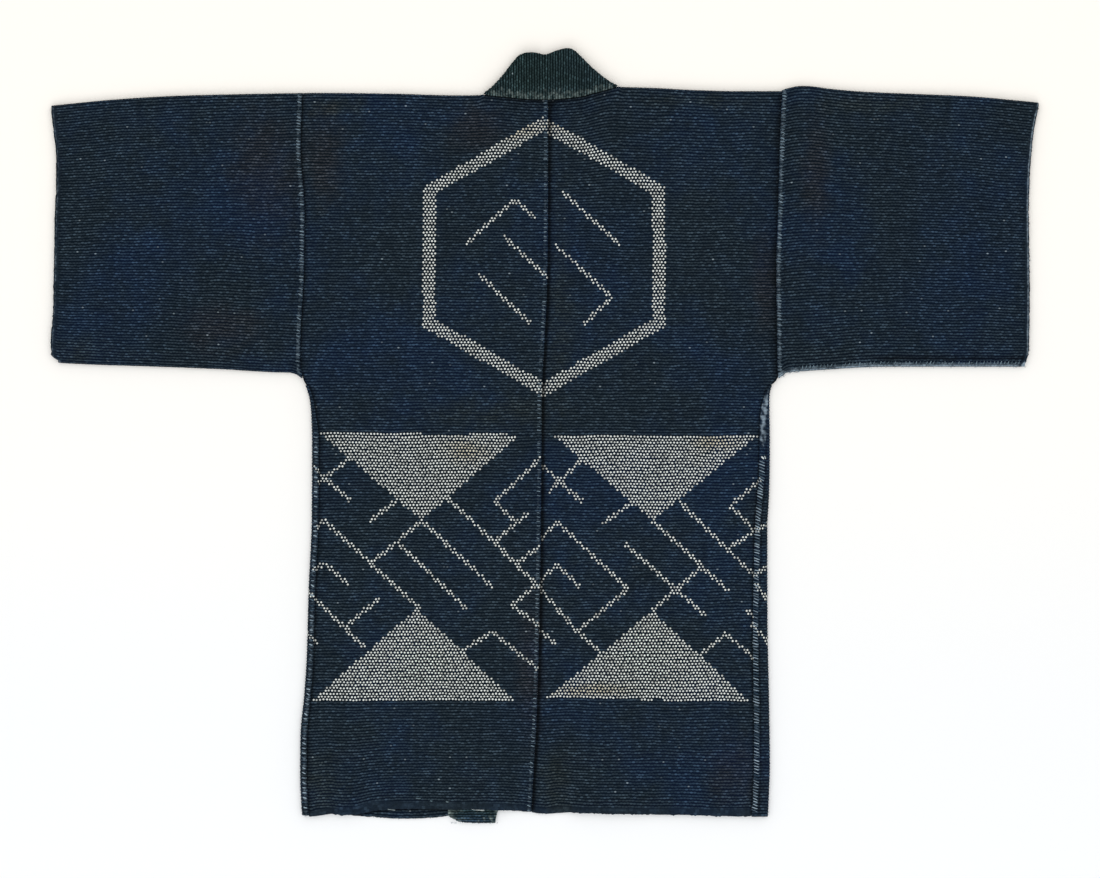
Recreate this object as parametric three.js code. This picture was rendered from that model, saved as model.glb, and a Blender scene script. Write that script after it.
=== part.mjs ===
// A Japanese fireman's coat of quilted indigo cotton, laid out flat with its back up, in millimetres.
// +X runs from sleeve to sleeve, +Y from the hem to the collar, and +Z up from the surface it lies on.
// Each half of the body is one length of cloth: the back lies on top, folds over at the shoulder
// and carries on beneath as the front, which turns round the side fold to the seam on the back.

import * as THREE from 'three';

// Cloth
const CLOTH = 2.6; // wall of the body and sleeves, layers of cotton quilted together
const BAND = 4.2; // wall of the collar band, the same cloth folded double
const BAND_WIDTH = 66; // from the collar's seam to its free edge
const GAP = 0.3; // at a seam, and between layers that lie on each other
const SEAM_WIDTH = 7; // raised welt where seam allowances are overcast
const SEAM_RISE = 1.2;
const GROOVE = 0.5; // how far the cloth beside a welt is pressed in
const SWELL = 0.5; // half the height of the slow waves in the upper layer
const HAIRPIN_STEPS = 5;

// Levels up the coat, in y
const HEM = -490;
const SHOULDER = 445;
const ROUND = CLOTH + GAP / 2; // outer radius of a flat fold
const SHOULDER_START = SHOULDER - ROUND; // where the cloth starts to turn over the shoulder
const ARMPIT = 84; // lowest point of the armhole seam
const SIDE_TOP = 60; // where the side seam starts
const ARMHOLE_LEVELS = [ARMPIT, 129, 215, 289, 373, SHOULDER_START];

// Neck seam, where the collar meets the back, and the collar's free edge above it
const NECK_SEAM = {
  x: [-79, -46, -13, 4, 29, 62, 95],
  y: [443, 439.3, 437, 437, 438.3, 445, 452.5],
};
const COLLAR_EDGE = {
  x: [-30, -23, -1, 25, 33],
  y: [492.5, 497, 495.5, 502, 500],
};

// Centre seam of the back, which leans as the cloth lies
const CENTRE = {
  y: [-490, -433, -355, -226, -83, 52, 118, 185, 307, 437],
  x: [-18, -14.5, -10.5, -7, -5, -4, -1, 2.5, 4, 4],
};

// How far the back sinks between the two collar bands, and how far it takes to sink
const BETWEEN = {
  y: [HEM, SHOULDER],
  rest: [0, 2.6],
  reach: [30, 12],
};

const LEFT = {
  out: -1,
  collarStops: { seam: [-4, -13, -30, -46, -60, -74], edge: [-3, -8, -14, -20, -25, -30] },
  collarSeam: { y: [HEM, SHOULDER], x: [-126, -79] },
  collarHem: -502.7,
  armhole: { y: ARMHOLE_LEVELS, x: [-317.5, -317, -312.7, -312, -317, -315] },
  fold: {
    y: [-494, -477, -441, -389, -333, -287, -200, -108, -5, 34, 48, 60],
    x: [-315, -316.5, -318, -317.6, -312.5, -309.5, -307, -303, -302, -303.5, -304.5, -309],
  },
  turn: { y: [HEM, SIDE_TOP], width: [9, 9] },
  shoulder: { x: [-317, -300, -200, -79], y: [445, 445.5, 444.5, 443] },
  hemBack: {
    x: [-315, -281, -262, -240, -190, -126, -61, -19],
    y: [-492, -488, -480, -476.5, -477, -480, -484.5, -488],
  },
  hemFront: {
    x: [-318, -281, -240, -222, -188, -156, -126],
    y: [-494, -490, -492, -495, -497, -497, -494],
  },
  cuff: {
    y: [95, 99, 110, 173, 283, 347, 429],
    x: [-632, -640.5, -641.3, -638, -636, -634, -641],
  },
  sleeveTop: { x: [-641, -572, -493, -425, -317], y: [429, 437, 443, 445, 445.5] },
  sleeveFoot: { x: [-641, -630, -502, -425, -335, -317], y: [98, 95, 90, 87, 82, 84] },
};

const RIGHT = {
  out: 1,
  collarStops: { seam: [16, 29, 45, 62, 76, 89], edge: [8, 13, 18, 23, 28, 33] },
  collarSeam: { y: [HEM, SHOULDER], x: [116, 95] },
  collarHem: -483,
  armhole: { y: ARMHOLE_LEVELS, x: [301, 301, 300, 302.3, 304.5, 307.5] },
  fold: {
    y: [-494, -421, -340, -239, -108, -5, 51, 60],
    x: [289.5, 292, 291, 289, 291, 292, 292, 294],
  },
  turn: { y: [-494, -109, -31, SIDE_TOP], width: [21.5, 21.5, 12, 12] },
  shoulder: { x: [95, 180, 250, 309], y: [452, 449, 448, 449] },
  hemBack: { x: [-19, 1, 45, 118, 200, 289], y: [-489, -490, -491, -490, -492, -493.5] },
  hemFront: { x: [116, 200, 270, 289], y: [-485, -486, -489, -493.5] },
  cuff: {
    y: [90, 107, 196, 298, 334, 394, 433],
    x: [623, 628, 629, 628, 629, 634, 641.3],
  },
  sleeveTop: { x: [307, 325, 337, 416, 552, 641], y: [451, 452.5, 455, 447, 441, 433] },
  sleeveFoot: { x: [301, 321, 361, 443, 525, 621], y: [85, 83, 86, 90, 90, 90] },
};

const lerp = THREE.MathUtils.lerp;
const smooth = THREE.MathUtils.smoothstep;

// The value of one column of a table where another column, which rises or falls, has a given value.
function read(table, key, value, at) {
  const keys = table[key];
  const rising = keys[keys.length - 1] > keys[0];
  const order = rising ? 1 : -1;
  const last = keys.length - 1;
  if ((at - keys[0]) * order <= 0) return table[value][0];
  if ((at - keys[last]) * order >= 0) return table[value][last];
  const next = keys.findIndex((k) => (k - at) * order > 0);
  const share = (at - keys[next - 1]) / (keys[next] - keys[next - 1]);
  return lerp(table[value][next - 1], table[value][next], share);
}

// A closed wall of cloth over a grid. point(i, j) gives [outer, inner], the two faces of the wall,
// has(i, j) says whether the cell after column i and row j is cloth, and a ring closes on itself.
function wall(columns, rows, ring, point, has = () => true) {
  const places = [];
  const index = new Map();
  const faces = [];
  const cell = (i, j) => i >= 0 && j >= 0 && i < columns && j < rows && has(i, j);
  const column = (i) => (ring ? (i + columns) % columns : i);
  const vertex = (i, j, face) => {
    const name = `${column(i)} ${j} ${face}`;
    if (!index.has(name)) {
      index.set(name, places.length / 3);
      places.push(...point(column(i), j)[face]);
    }
    return index.get(name);
  };
  const quad = (a, b, c, d) => faces.push(a, b, c, a, c, d);
  const edge = (i, j, k, l) => quad(vertex(k, l, 0), vertex(i, j, 0), vertex(i, j, 1), vertex(k, l, 1));
  for (let i = 0; i < columns; i += 1) {
    for (let j = 0; j < rows; j += 1) {
      if (!cell(i, j)) continue;
      const corners = [[i, j], [i + 1, j], [i + 1, j + 1], [i, j + 1]];
      quad(...corners.map(([k, l]) => vertex(k, l, 0)));
      quad(...corners.reverse().map(([k, l]) => vertex(k, l, 1)));
      if (!cell(i, j - 1)) edge(i, j, i + 1, j);
      if (!cell(i, j + 1)) edge(i + 1, j + 1, i, j + 1);
      if (!ring && !cell(i - 1, j)) edge(i, j + 1, i, j);
      if (!ring && !cell(i + 1, j)) edge(i + 1, j, i + 1, j + 1);
    }
  }
  const geometry = new THREE.BufferGeometry();
  geometry.setAttribute('position', new THREE.Float32BufferAttribute(places, 3));
  geometry.setIndex(volume(places, faces) > 0 ? faces : faces.reverse());
  geometry.computeVertexNormals();
  return geometry;
}

function volume(places, faces) {
  const corner = (k) => new THREE.Vector3().fromArray(places, 3 * faces[k]);
  let sum = 0;
  for (let k = 0; k < faces.length; k += 3) {
    sum += corner(k).dot(corner(k + 1).cross(corner(k + 2))) / 6;
  }
  return sum;
}

// Height of what lies beneath the upper layer: the fronts, the two collar bands and, between them,
// the surface, to which the back sinks slowly.
function beneath(x, y) {
  const left = read(LEFT.collarSeam, 'y', 'x', y);
  const right = read(RIGHT.collarSeam, 'y', 'x', y);
  const reach = read(BETWEEN, 'y', 'reach', y);
  const rest = read(BETWEEN, 'y', 'rest', y);
  const near = Math.min(x - left, right - x);
  const rise = lerp(CLOTH, BAND, smooth(near, -reach / 2, 0));
  return lerp(rise, rest, smooth(near, BAND_WIDTH, BAND_WIDTH + reach));
}

// Underside of the upper layer, with slow waves that lift it clear of what it lies on.
function under(x, y) {
  const wave = Math.sin(x / 62 + y / 210) * Math.cos(y / 95 - x / 300);
  return beneath(x, y) + GAP + SWELL * (1 + wave);
}

// Height of a welt at a distance from its edge, with its middle half its width in.
function welt(distance) {
  const off = Math.abs(distance - SEAM_WIDTH / 2) / (SEAM_WIDTH / 2);
  return off < 1 ? SEAM_RISE * (0.5 + 0.5 * Math.cos(Math.PI * off)) : 0;
}

const groove = (distance) => GROOVE * (smooth(distance, 0, 6) - 1);

// Both faces of a wall that lies flat in the upper layer.
function upper(x, y, raised = 0) {
  const z = under(x, y);
  return [[x, y, z + CLOTH + raised], [x, y, z]];
}

// Both faces of a wall as it folds round from the upper layer to the surface. The fold bulges along
// [dx, dy], and turned runs from 0 on top to 1 beneath.
function hairpin(x, y, dx, dy, thick, turned) {
  const middle = (under(x, y) + thick) / 2;
  const bulge = Math.sin(Math.PI * turned);
  const level = Math.cos(Math.PI * turned);
  return [middle, middle - thick].map((radius) => [
    x + dx * radius * bulge,
    y + dy * radius * bulge,
    middle + radius * level,
  ]);
}

const bend = (x, y, thick) => (under(x, y) + thick) / 2;

const heightShare = (level) => (level - HEM) / (SHOULDER_START - HEM);

// One half of the body. Columns run from the side to the centre, led by those that turn round the
// side fold, and rows run up the back, over the shoulder and down the front.
function body(side) {
  const centre = (y) => read(CENTRE, 'y', 'x', y) + (side.out * GAP) / 2;
  const sideAt = (y, below) => {
    if (y >= ARMPIT) return read(side.armhole, 'y', 'x', y);
    if (y <= SIDE_TOP) return below(y);
    return lerp(below(SIDE_TOP), read(side.armhole, 'y', 'x', ARMPIT), (y - SIDE_TOP) / (ARMPIT - SIDE_TOP));
  };
  const foldAt = (y) => read(side.fold, 'y', 'x', y);
  const turnEnd = (y) => foldAt(y) - side.out * read(side.turn, 'y', 'width', y);
  const sideBack = (y) => sideAt(y, (at) => turnEnd(at) - (side.out * GAP) / 2);
  const foldStart = (y) => foldAt(y) - side.out * bend(foldAt(y), y, CLOTH);
  const sideFront = (y) => sideAt(y, foldStart);
  const collarSeam = (y) => read(side.collarSeam, 'y', 'x', y) + (side.out * GAP) / 2;

  const collarEdge = (y) => collarSeam(y) - side.out * BAND_WIDTH;
  const rise = (y) => read(BETWEEN, 'y', 'reach', y) / 2;
  // Each column's x at a level: a share of the way from one line to the next, then so far inwards.
  const columns = [
    ...[0, 0.03, 0.2, 0.4, 0.6, 0.8].map((share) => ({ from: sideBack, to: collarSeam, share })),
    { from: collarSeam, to: collarSeam, share: 0, inwards: (y) => -rise(y) },
    { from: collarSeam, to: collarSeam, share: 0, inwards: (y) => -rise(y) / 2 },
    ...[0, 0.5].map((share) => ({ from: collarSeam, to: collarEdge, share })),
    ...[0, 0.35].map((share) => ({ from: collarEdge, to: centre, share })),
    ...[SEAM_WIDTH, SEAM_WIDTH / 2, 1.2, 0].map((distance) => ({
      from: centre,
      to: centre,
      share: 0,
      inwards: () => -distance,
    })),
  ];
  const neckColumn = 8; // the column on the line from which the collar is sewn on
  const backX = ({ from, to, share, inwards = () => 0 }, level) =>
    lerp(from(level), to(level), share) - side.out * inwards(level);
  const frontX = ({ share, inwards = () => 0 }, level, column) => {
    if (column < 6) return lerp(sideFront(level), collarSeam(level), share);
    return collarSeam(level) - side.out * inwards(level);
  };

  const backLevels = [HEM, -484, -440, -389, -333, -287, -220, -150, -80, -20, 20, 48, 60, 70, ARMPIT];
  backLevels.push(129, 172, 215, 252, 289, 331, 373, 420, SHOULDER_START);
  const frontLevels = [420, 373, 289, 215, 129, ARMPIT, 70, SIDE_TOP, 48, 20];
  frontLevels.push(-50, -120, -200, -280, -350, -440, HEM);
  const shoulderRow = backLevels.length - 1;
  const frontRow = shoulderRow + HAIRPIN_STEPS;
  const rows = frontRow + frontLevels.length;

  const turnDistances = [8.8, 6, SEAM_WIDTH / 2, 1, 0]; // across the turned strip, from the side seam
  const turnRoom = 9.5;
  const turned = HAIRPIN_STEPS + turnDistances.length;

  const shoulderTop = (x) => read(side.shoulder, 'x', 'y', x) - bend(x, SHOULDER, CLOTH);
  const backPoint = (column, level) => {
    const x = backX(columns[column], level);
    const top = column > neckColumn ? read(NECK_SEAM, 'x', 'y', x) - GAP / 2 : shoulderTop(x);
    const y = lerp(read(side.hemBack, 'x', 'y', x), top, heightShare(level));
    const toCentre = Math.abs(x - centre(level));
    const toSide = Math.abs(x - sideBack(level));
    const raised = side === LEFT ? welt(toCentre) : groove(toCentre);
    return upper(x, y, raised + groove(toSide));
  };
  const frontPoint = (column, level) => {
    const x = frontX(columns[column], level, column);
    const y = lerp(read(side.hemFront, 'x', 'y', x), shoulderTop(x), heightShare(level));
    return [[x, y, 0], [x, y, CLOTH]];
  };
  // The front's cloth beyond the side fold: round the fold, then flat on top as far as the side seam.
  const turnPoint = (step, level) => {
    const y = frontPoint(0, level)[0][1];
    const x = foldStart(level);
    if (step >= turnDistances.length) {
      return hairpin(x, y, side.out, 0, CLOTH, (step - turnDistances.length + 1) / (HAIRPIN_STEPS + 1));
    }
    const room = Math.abs(x - turnEnd(level)) - GAP;
    const distance = turnDistances[turnDistances.length - 1 - step] * Math.min(1, room / turnRoom);
    return upper(turnEnd(level) + side.out * (GAP / 2 + distance), y, welt(distance));
  };
  const point = (i, j) => {
    if (i < turned) return turnPoint(i, frontLevels[Math.max(0, j - frontRow - 1)]);
    const column = i - turned;
    if (j <= shoulderRow) return backPoint(column, backLevels[j]);
    if (j > frontRow) return frontPoint(column, frontLevels[j - frontRow - 1]);
    const [, [x, y]] = backPoint(column, backLevels[shoulderRow]);
    return hairpin(x, y, 0, 1, CLOTH, (j - shoulderRow) / (HAIRPIN_STEPS + 1));
  };
  const has = (i, j) => {
    if (i < turned) return j > frontRow && frontLevels[j - frontRow - 1] <= SIDE_TOP;
    return j < shoulderRow || i - turned < neckColumn;
  };
  return wall(turned + columns.length - 1, rows, false, point, has);
}

// A sleeve: one length folded at the top and sewn beneath, a flattened tube from armhole to cuff.
function sleeve(side) {
  const bottom = ARMPIT + ROUND;
  const shareOf = (level) => (level - bottom) / (SHOULDER_START - bottom);
  const upperLevels = [bottom, bottom + 3.5, bottom + 7, ...ARMHOLE_LEVELS.slice(1)];
  const lowerLevels = [...ARMHOLE_LEVELS.slice(1).reverse(), bottom];
  const layer = upperLevels.map((level) => ({ share: shareOf(level), turned: 0 }));
  const fold = (share, from) => {
    for (let k = 1; k <= HAIRPIN_STEPS; k += 1) {
      layer.push({ share, turned: from + (k / (HAIRPIN_STEPS + 1)) * (from ? -1 : 1) });
    }
  };
  fold(1, 0);
  lowerLevels.forEach((level) => layer.push({ share: shareOf(level), turned: 1 }));
  fold(0, 1);

  const cuff = 320; // nominal distance from the armhole seam to the cuff
  const along = [0, 1.2, SEAM_WIDTH / 2, SEAM_WIDTH, 12, 45, 90, 140, 190, 240, 285, 312, cuff];
  const point = (i, j) => {
    const { share, turned } = layer[i];
    const level = lerp(bottom, SHOULDER_START, share);
    const arm = read(side.armhole, 'y', 'x', level) + side.out * GAP;
    const cuffLevel = lerp(side.cuff.y[0], side.cuff.y[side.cuff.y.length - 1], share);
    const x = lerp(arm, read(side.cuff, 'y', 'x', cuffLevel), along[j] / cuff);
    const radius = bend(x, level, CLOTH);
    const foot = read(side.sleeveFoot, 'x', 'y', x) + radius;
    const y = lerp(foot, read(side.sleeveTop, 'x', 'y', x) - radius, share);
    const edgeWelt = side === RIGHT ? welt(y - foot) / 2 : 0;
    if (turned === 0) return upper(x, y, Math.max(welt(along[j]), edgeWelt));
    if (turned === 1) return [[x, y, 0], [x, y, CLOTH]];
    return hairpin(x, y, 0, share > 0.5 ? 1 : -1, CLOTH, turned);
  };
  return wall(layer.length, along.length - 1, true, point);
}

// The collar: one folded band. Its neck stretch stands up past the shoulders, and at each end it
// folds down on a slant and runs beneath the back, along the front's edge, to the hem.
function collar() {
  const across = [0, 0.12, 0.35, 0.6, 0.85, 1];
  const frontShares = [0.04, 0.08, 0.13, 0.2, 0.32, 0.45, 0.6, 0.75, 0.9, 1];
  // A point of the neck stretch, on the way from one place on the seam to one on the free edge.
  const neckPoint = (seamX, edgeX, share) => {
    const seamY = read(NECK_SEAM, 'x', 'y', seamX) + GAP / 2;
    const edgeY = read(COLLAR_EDGE, 'x', 'y', edgeX);
    return [lerp(seamX, edgeX, share), lerp(seamY, edgeY, share)];
  };
  const onTop = ([x, y]) => [[x, y, under(x, y) + BAND], [x, y, under(x, y)]];
  const half = (side) => {
    const stations = [];
    const { seam, edge } = side.collarStops;
    seam.forEach((seamX, k) => stations.push((share) => onTop(neckPoint(seamX, edge[k], share))));
    const ends = [seam[seam.length - 1], edge[edge.length - 1]];
    const [footX, footY] = neckPoint(...ends, 0);
    const [headX, headY] = neckPoint(...ends, 1);
    const reach = Math.hypot(headX - footX, headY - footY);
    const out = [(side.out * (headY - footY)) / reach, Math.abs(headX - footX) / reach];
    for (let k = 1; k <= HAIRPIN_STEPS; k += 1) {
      stations.push((share) => {
        const x = lerp(footX, headX, share);
        const y = lerp(footY, headY, share);
        return hairpin(x, y, out[0], out[1], BAND, k / (HAIRPIN_STEPS + 1));
      });
    }
    [0, ...frontShares].forEach((along) => {
      stations.push((share) => {
        const y = lerp(lerp(footY, headY, share), side.collarHem, along);
        const sewn = read(side.collarSeam, 'y', 'x', y) - (side.out * GAP) / 2;
        const settled = smooth(along, 0, 0.1);
        const x = lerp(lerp(footX, headX, share), sewn - side.out * BAND_WIDTH * share, settled);
        return [[x, y, 0], [x, y, BAND]];
      });
    });
    return stations;
  };
  const middle = (share) => onTop(neckPoint(4, -1, share));
  const stations = [...half(LEFT).reverse(), middle, ...half(RIGHT)];
  return wall(stations.length - 1, across.length - 1, false, (i, j) => stations[i](across[j]));
}

const indigo = () => new THREE.MeshStandardMaterial({ color: 0x152739, roughness: 0.95, metalness: 0 });
const greenIndigo = () => new THREE.MeshStandardMaterial({ color: 0x1d2b2c, roughness: 0.95, metalness: 0 });

function piece(name, geometry, material) {
  const mesh = new THREE.Mesh(geometry, material);
  mesh.name = name;
  return mesh;
}

const group = new THREE.Group();
group.add(piece('body_left', body(LEFT), indigo()));
group.add(piece('body_right', body(RIGHT), indigo()));
group.add(piece('sleeve_left', sleeve(LEFT), indigo()));
group.add(piece('sleeve_right', sleeve(RIGHT), indigo()));
group.add(piece('collar', collar(), greenIndigo()));

export default group;
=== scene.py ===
import math

import bpy
import numpy as np
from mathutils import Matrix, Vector
from mathutils.bvhtree import BVHTree


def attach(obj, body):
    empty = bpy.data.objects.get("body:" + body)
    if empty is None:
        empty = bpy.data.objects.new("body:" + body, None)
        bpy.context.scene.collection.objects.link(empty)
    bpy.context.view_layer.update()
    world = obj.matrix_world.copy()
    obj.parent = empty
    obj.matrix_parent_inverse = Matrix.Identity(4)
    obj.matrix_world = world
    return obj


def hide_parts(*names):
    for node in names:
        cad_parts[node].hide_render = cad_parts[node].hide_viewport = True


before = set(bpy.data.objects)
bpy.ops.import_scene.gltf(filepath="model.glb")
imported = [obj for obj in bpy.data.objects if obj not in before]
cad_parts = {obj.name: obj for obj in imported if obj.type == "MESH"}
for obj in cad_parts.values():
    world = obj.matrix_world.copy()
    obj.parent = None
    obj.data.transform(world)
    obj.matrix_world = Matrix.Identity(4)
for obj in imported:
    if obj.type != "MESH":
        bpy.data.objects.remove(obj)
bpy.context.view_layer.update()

# The camera hangs straight above the middle of the photo's view, with the collar end at the top.
# The view takes in 1100 pixels of 1.30 mm, measured at the height of the cloth.
PIXEL = 0.0013
VIEW_WIDTH = 1100 * PIXEL
VIEW_MIDDLE = (5 * PIXEL, -3 * PIXEL)
CAMERA_HEIGHT = 3.5
SENSOR = 36
camera_data = bpy.data.cameras.new("camera")
camera_data.sensor_width = SENSOR
camera_data.lens = SENSOR * CAMERA_HEIGHT / VIEW_WIDTH
camera = bpy.data.objects.new("camera", camera_data)
camera.location = (*VIEW_MIDDLE, CAMERA_HEIGHT)
bpy.context.scene.collection.objects.link(camera)
bpy.context.scene.camera = camera

# The two halves of the body, each one loom width of quilted indigo cotton as long as the back and the
# front together. The back lies on top, folds over the shoulder and carries on beneath as the front,
# which turns round the side fold to the side seam. Sizes are in millimetres, as the solids' are.
MM = 0.001
CLOTH = 2.6  # thickness of the quilted cotton
BAND = 4.2  # and of the collar's band, which is folded double
BAND_WIDTH = 66
GAP = 0.3  # air between the layers
JOIN = 0.06  # what is left open between two edges that are sewn together
SEAM_WIDTH = 7
SEAM_RISE = 1.2
GROOVE = 0.5  # how far a seam draws the cloth beside it down
SWELL = 0.5
STITCH = 4.3  # from one running stitch to the next
COLUMN = STITCH / 2
HEM = -490
SHOULDER = 445
ROUND = CLOTH + GAP / 2
SHOULDER_START = SHOULDER - ROUND
ARMPIT = 77
SIDE_TOP = 66  # where the side seam starts, just below the armpit
ARMHOLE_LEVELS = [ARMPIT, 90, 129, 215, 289, 373, SHOULDER_START]
BACK_ROWS = 486  # two rows of mesh to each row of stitches
FRONT_ROWS = 290  # the same, along the side seam
ABOVE_ROWS = 20  # coarser rows of the front, above the side seam
ABOVE_STITCHES = 100  # the rows of stitches that those stand for
FOLD_STEPS = 6
FOLD_STITCHES = 3  # rows of stitches round a fold
FOLD_TAKES = 3.4  # how much of the turned strip's width goes round the fold
COARSE = 12  # stride of the mesh where nothing shows
HEM_ROWS = 26  # rows at the front's hem, which peeps out
ROW_RISE = 0.3
STITCH_RISE = 0.13
RAGGED = 0.5  # how far the ends of the threads stray at a raw edge
LIP = 0.7  # how much a raw edge is pressed down
WAVES = 5


def curve(keys, values):
    """A smooth line through a table's points that never swings past them."""
    keys, values = np.array(keys, float), np.array(values, float)
    if keys[0] > keys[-1]:
        keys, values = keys[::-1], values[::-1]
    steps = np.diff(keys)
    slopes = np.diff(values) / steps
    before, after = slopes[:-1], slopes[1:]
    total = np.where(before * after > 0, before + after, 1)
    inside = np.where(before * after > 0, 2 * before * after / total, 0)
    tangents = np.concatenate([slopes[:1], inside, slopes[-1:]])

    def at(key):
        key = np.clip(key, keys[0], keys[-1])
        n = np.clip(np.searchsorted(keys, key, side="right") - 1, 0, len(steps) - 1)
        t = (key - keys[n]) / steps[n]
        ends = values[n] * (1 + 2 * t) * (1 - t) ** 2 + values[n + 1] * t * t * (3 - 2 * t)
        return ends + steps[n] * t * (1 - t) * (tangents[n] * (1 - t) - tangents[n + 1] * t)

    return at


def lerp(a, b, share):
    return a + (b - a) * share


def smooth(value, low, high):
    t = np.clip((value - low) / (high - low), 0, 1)
    return t * t * (3 - 2 * t)


def bell(distance, width, power=2):
    """1 where the distance is 0, and close to 0 at twice the width. A high power flattens its top."""
    return np.exp(-(np.abs(distance / width) ** power))


def fading(distance, reach):
    return np.exp(-distance / reach)


NECK_SEAM = curve(
    [-79, -46, -20, 4, 29, 48, 62, 77, 95],
    [442.6, 439.3, 436.9, 436.7, 438.2, 440.6, 444.4, 448.3, 453],
)
CENTRE = curve(
    [-490, -433, -355, -226, -83, 52, 118, 185, 307, 437],
    [-18, -14.5, -10.5, -7, -5, -4, -1, 2.5, 4, 4],
)
BETWEEN_REST = curve([HEM, SHOULDER], [0, 2.6])
BETWEEN_REACH = curve([HEM, SHOULDER], [30, 12])
# How wide the hem's plain strip is, below the last row of stitches
PLAIN_HEM = curve(
    [-315, -290, -262, -226, -180, -60, -19, 120, 225, 285], [5, 7, 10, 13, 10, 9, 8, 8.5, 10, 11]
)

# What differs between the two halves. out is the way from the centre to the side, fold is the side
# edge and turn the width of the front's strip that lies over it. Shoulder and hems are curves over x,
# and the rest are curves over y.
LEFT = {
    "out": -1,
    "collar_seam": curve([HEM, SHOULDER], [-126, -79]),
    "armhole": curve(ARMHOLE_LEVELS, [-314.3, -317.5, -317, -312.7, -312, -317, -315]),
    "armpit_bend": 0.35,
    "fold": curve(
        [-494, -477, -441, -389, -333, -287, -200, -108, -5, 14, 35, 48, 60, SIDE_TOP],
        [-315, -316.5, -318, -317.6, -312.5, -309.5, -307, -303, -302.5, -303, -304.1, -305.7, -309, -311],
    ),
    "turn": curve([HEM, 0, 30, SIDE_TOP], [9, 9, 6, 4]),
    "shoulder": curve([-317, -300, -200, -136, -110, -79], [445, 445.5, 444.5, 442.6, 442.3, 442.8]),
    "hem_back": curve(
        [-315, -307, -291, -281, -262, -248, -236, -226, -214, -188, -126, -61, -39, -19],
        [-493, -494, -491.3, -490.5, -492.3, -491.8, -489.5, -487, -485.6, -484.6, -484, -484.9]
        + [-486.7, -488.2],
    ),
    "hem_front": curve(
        [-318, -307, -290, -275, -262, -248, -227, -209, -190, -157, -144, -126],
        [-493, -493, -488, -488, -490, -493, -494.8, -496, -497.3, -496.6, -495.6, -494.1],
    ),
}
RIGHT = {
    "out": 1,
    "collar_seam": curve([HEM, SHOULDER], [116, 95]),
    "armhole": curve(ARMHOLE_LEVELS, [303, 301.3, 301, 300, 302.3, 304.5, 307.5]),
    "armpit_bend": 0.48,
    "fold": curve(
        [-494, -421, -340, -239, -116, -96, -77, -44, -5, 46, 55, 60, SIDE_TOP],
        [289.5, 292, 291, 289, 288.8, 290, 291, 291.8, 292, 291.4, 292, 293, 295],
    ),
    "turn": curve(
        [-494, -250, -116, -77, -44, 8, 34, 47, 55, 61, SIDE_TOP],
        [21.5, 19.5, 16.5, 15.6, 13.8, 13.5, 11.2, 8.3, 6.3, 4.8, 4],
    ),
    "shoulder": curve([92, 119, 150, 185, 250, 309], [453.2, 452.7, 451.6, 449.6, 447.8, 447.8]),
    "hem_back": curve(
        [-19, 1, 18, 60, 123, 170, 227, 274, 289],
        [-488.2, -491, -488.6, -490, -491, -491.6, -493.2, -493.9, -494.3],
    ),
    "hem_front": curve([116, 200, 262, 275, 289], [-485, -486, -489, -493.6, -494.3]),
}

# Soft ridges where the cloth has lain folded: two ends, half width and height
CREASES = [
    ((-250, 60), (-205, -70), 16, 1.2),
    ((-120, 20), (-150, -40), 12, 0.7),
    ((-286, 30), (-240, 120), 14, 1.4),
    ((-60, -330), (-95, -470), 18, 1.0),
    ((-230, -380), (-215, -475), 14, 1.3),
    ((262, 40), (215, 130), 15, 1.5),
    ((240, -50), (262, -160), 13, 0.9),
    ((70, -420), (95, -485), 16, 1.1),
    ((190, -360), (205, -486), 18, 1.4),
    ((-420, 110), (-380, 300), 20, 1.1),
    ((-560, 200), (-600, 390), 22, 1.2),
    ((395, 140), (360, 330), 18, 1.3),
    ((530, 110), (545, 280), 22, 1.2),
    ((345, 300), (352, 420), 14, 1.6),
    ((-60, 330), (-48, 420), 12, 0.6),
    ((150, 330), (120, 430), 14, 0.8),
]


def ripple(x, y, size, seed):
    """Uneven waves of about that size, from -1 to 1, the same each time for a seed."""
    dice = np.random.default_rng(seed)
    total = 0
    for turn, phase, stretch in dice.uniform((0, 0, 0.7), (math.tau, math.tau, 1.5), (WAVES, 3)):
        along = x * math.cos(turn) + y * math.sin(turn)
        total = total + np.sin(math.tau * along / (size * stretch) + phase)
    return total / (WAVES / 2)


def creased(x, y):
    """Height of the soft ridges, and of small dimples that come in patches."""
    height = 0.3 * (1 + ripple(x, y, 26, 3)) * (0.6 + 0.4 * ripple(x, y, 150, 4))
    for (ax, ay), (bx, by), width, rise in CREASES:
        length = math.hypot(bx - ax, by - ay)
        along = ((x - ax) * (bx - ax) + (y - ay) * (by - ay)) / length**2
        aside = ((x - ax) * (by - ay) - (y - ay) * (bx - ax)) / length
        ends = smooth(along, -0.25, 0.25) * smooth(1 - along, -0.25, 0.25)
        height = height + rise * ends * bell(aside, width)
    return height


def beneath(x, y):
    """Height of what lies under the top layer: the fronts, the collar bands and the surface."""
    near = np.minimum(x - LEFT["collar_seam"](y), RIGHT["collar_seam"](y) - x)
    reach = BETWEEN_REACH(y)
    rise = lerp(CLOTH, BAND, smooth(near, -reach / 2, 0))
    return lerp(rise, BETWEEN_REST(y), smooth(near, BAND_WIDTH, BAND_WIDTH + reach))


def under(x, y):
    """Height of the top layer's lower side, which swells and sinks in long waves."""
    wave = np.sin(x / 62 + y / 210) * np.cos(y / 95 - x / 300)
    return beneath(x, y) + GAP + SWELL * (1 + wave)


def bend(x, y, thick=CLOTH):
    """Outer radius of a fold that goes round to the table."""
    return (under(x, y) + thick) / 2


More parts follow.
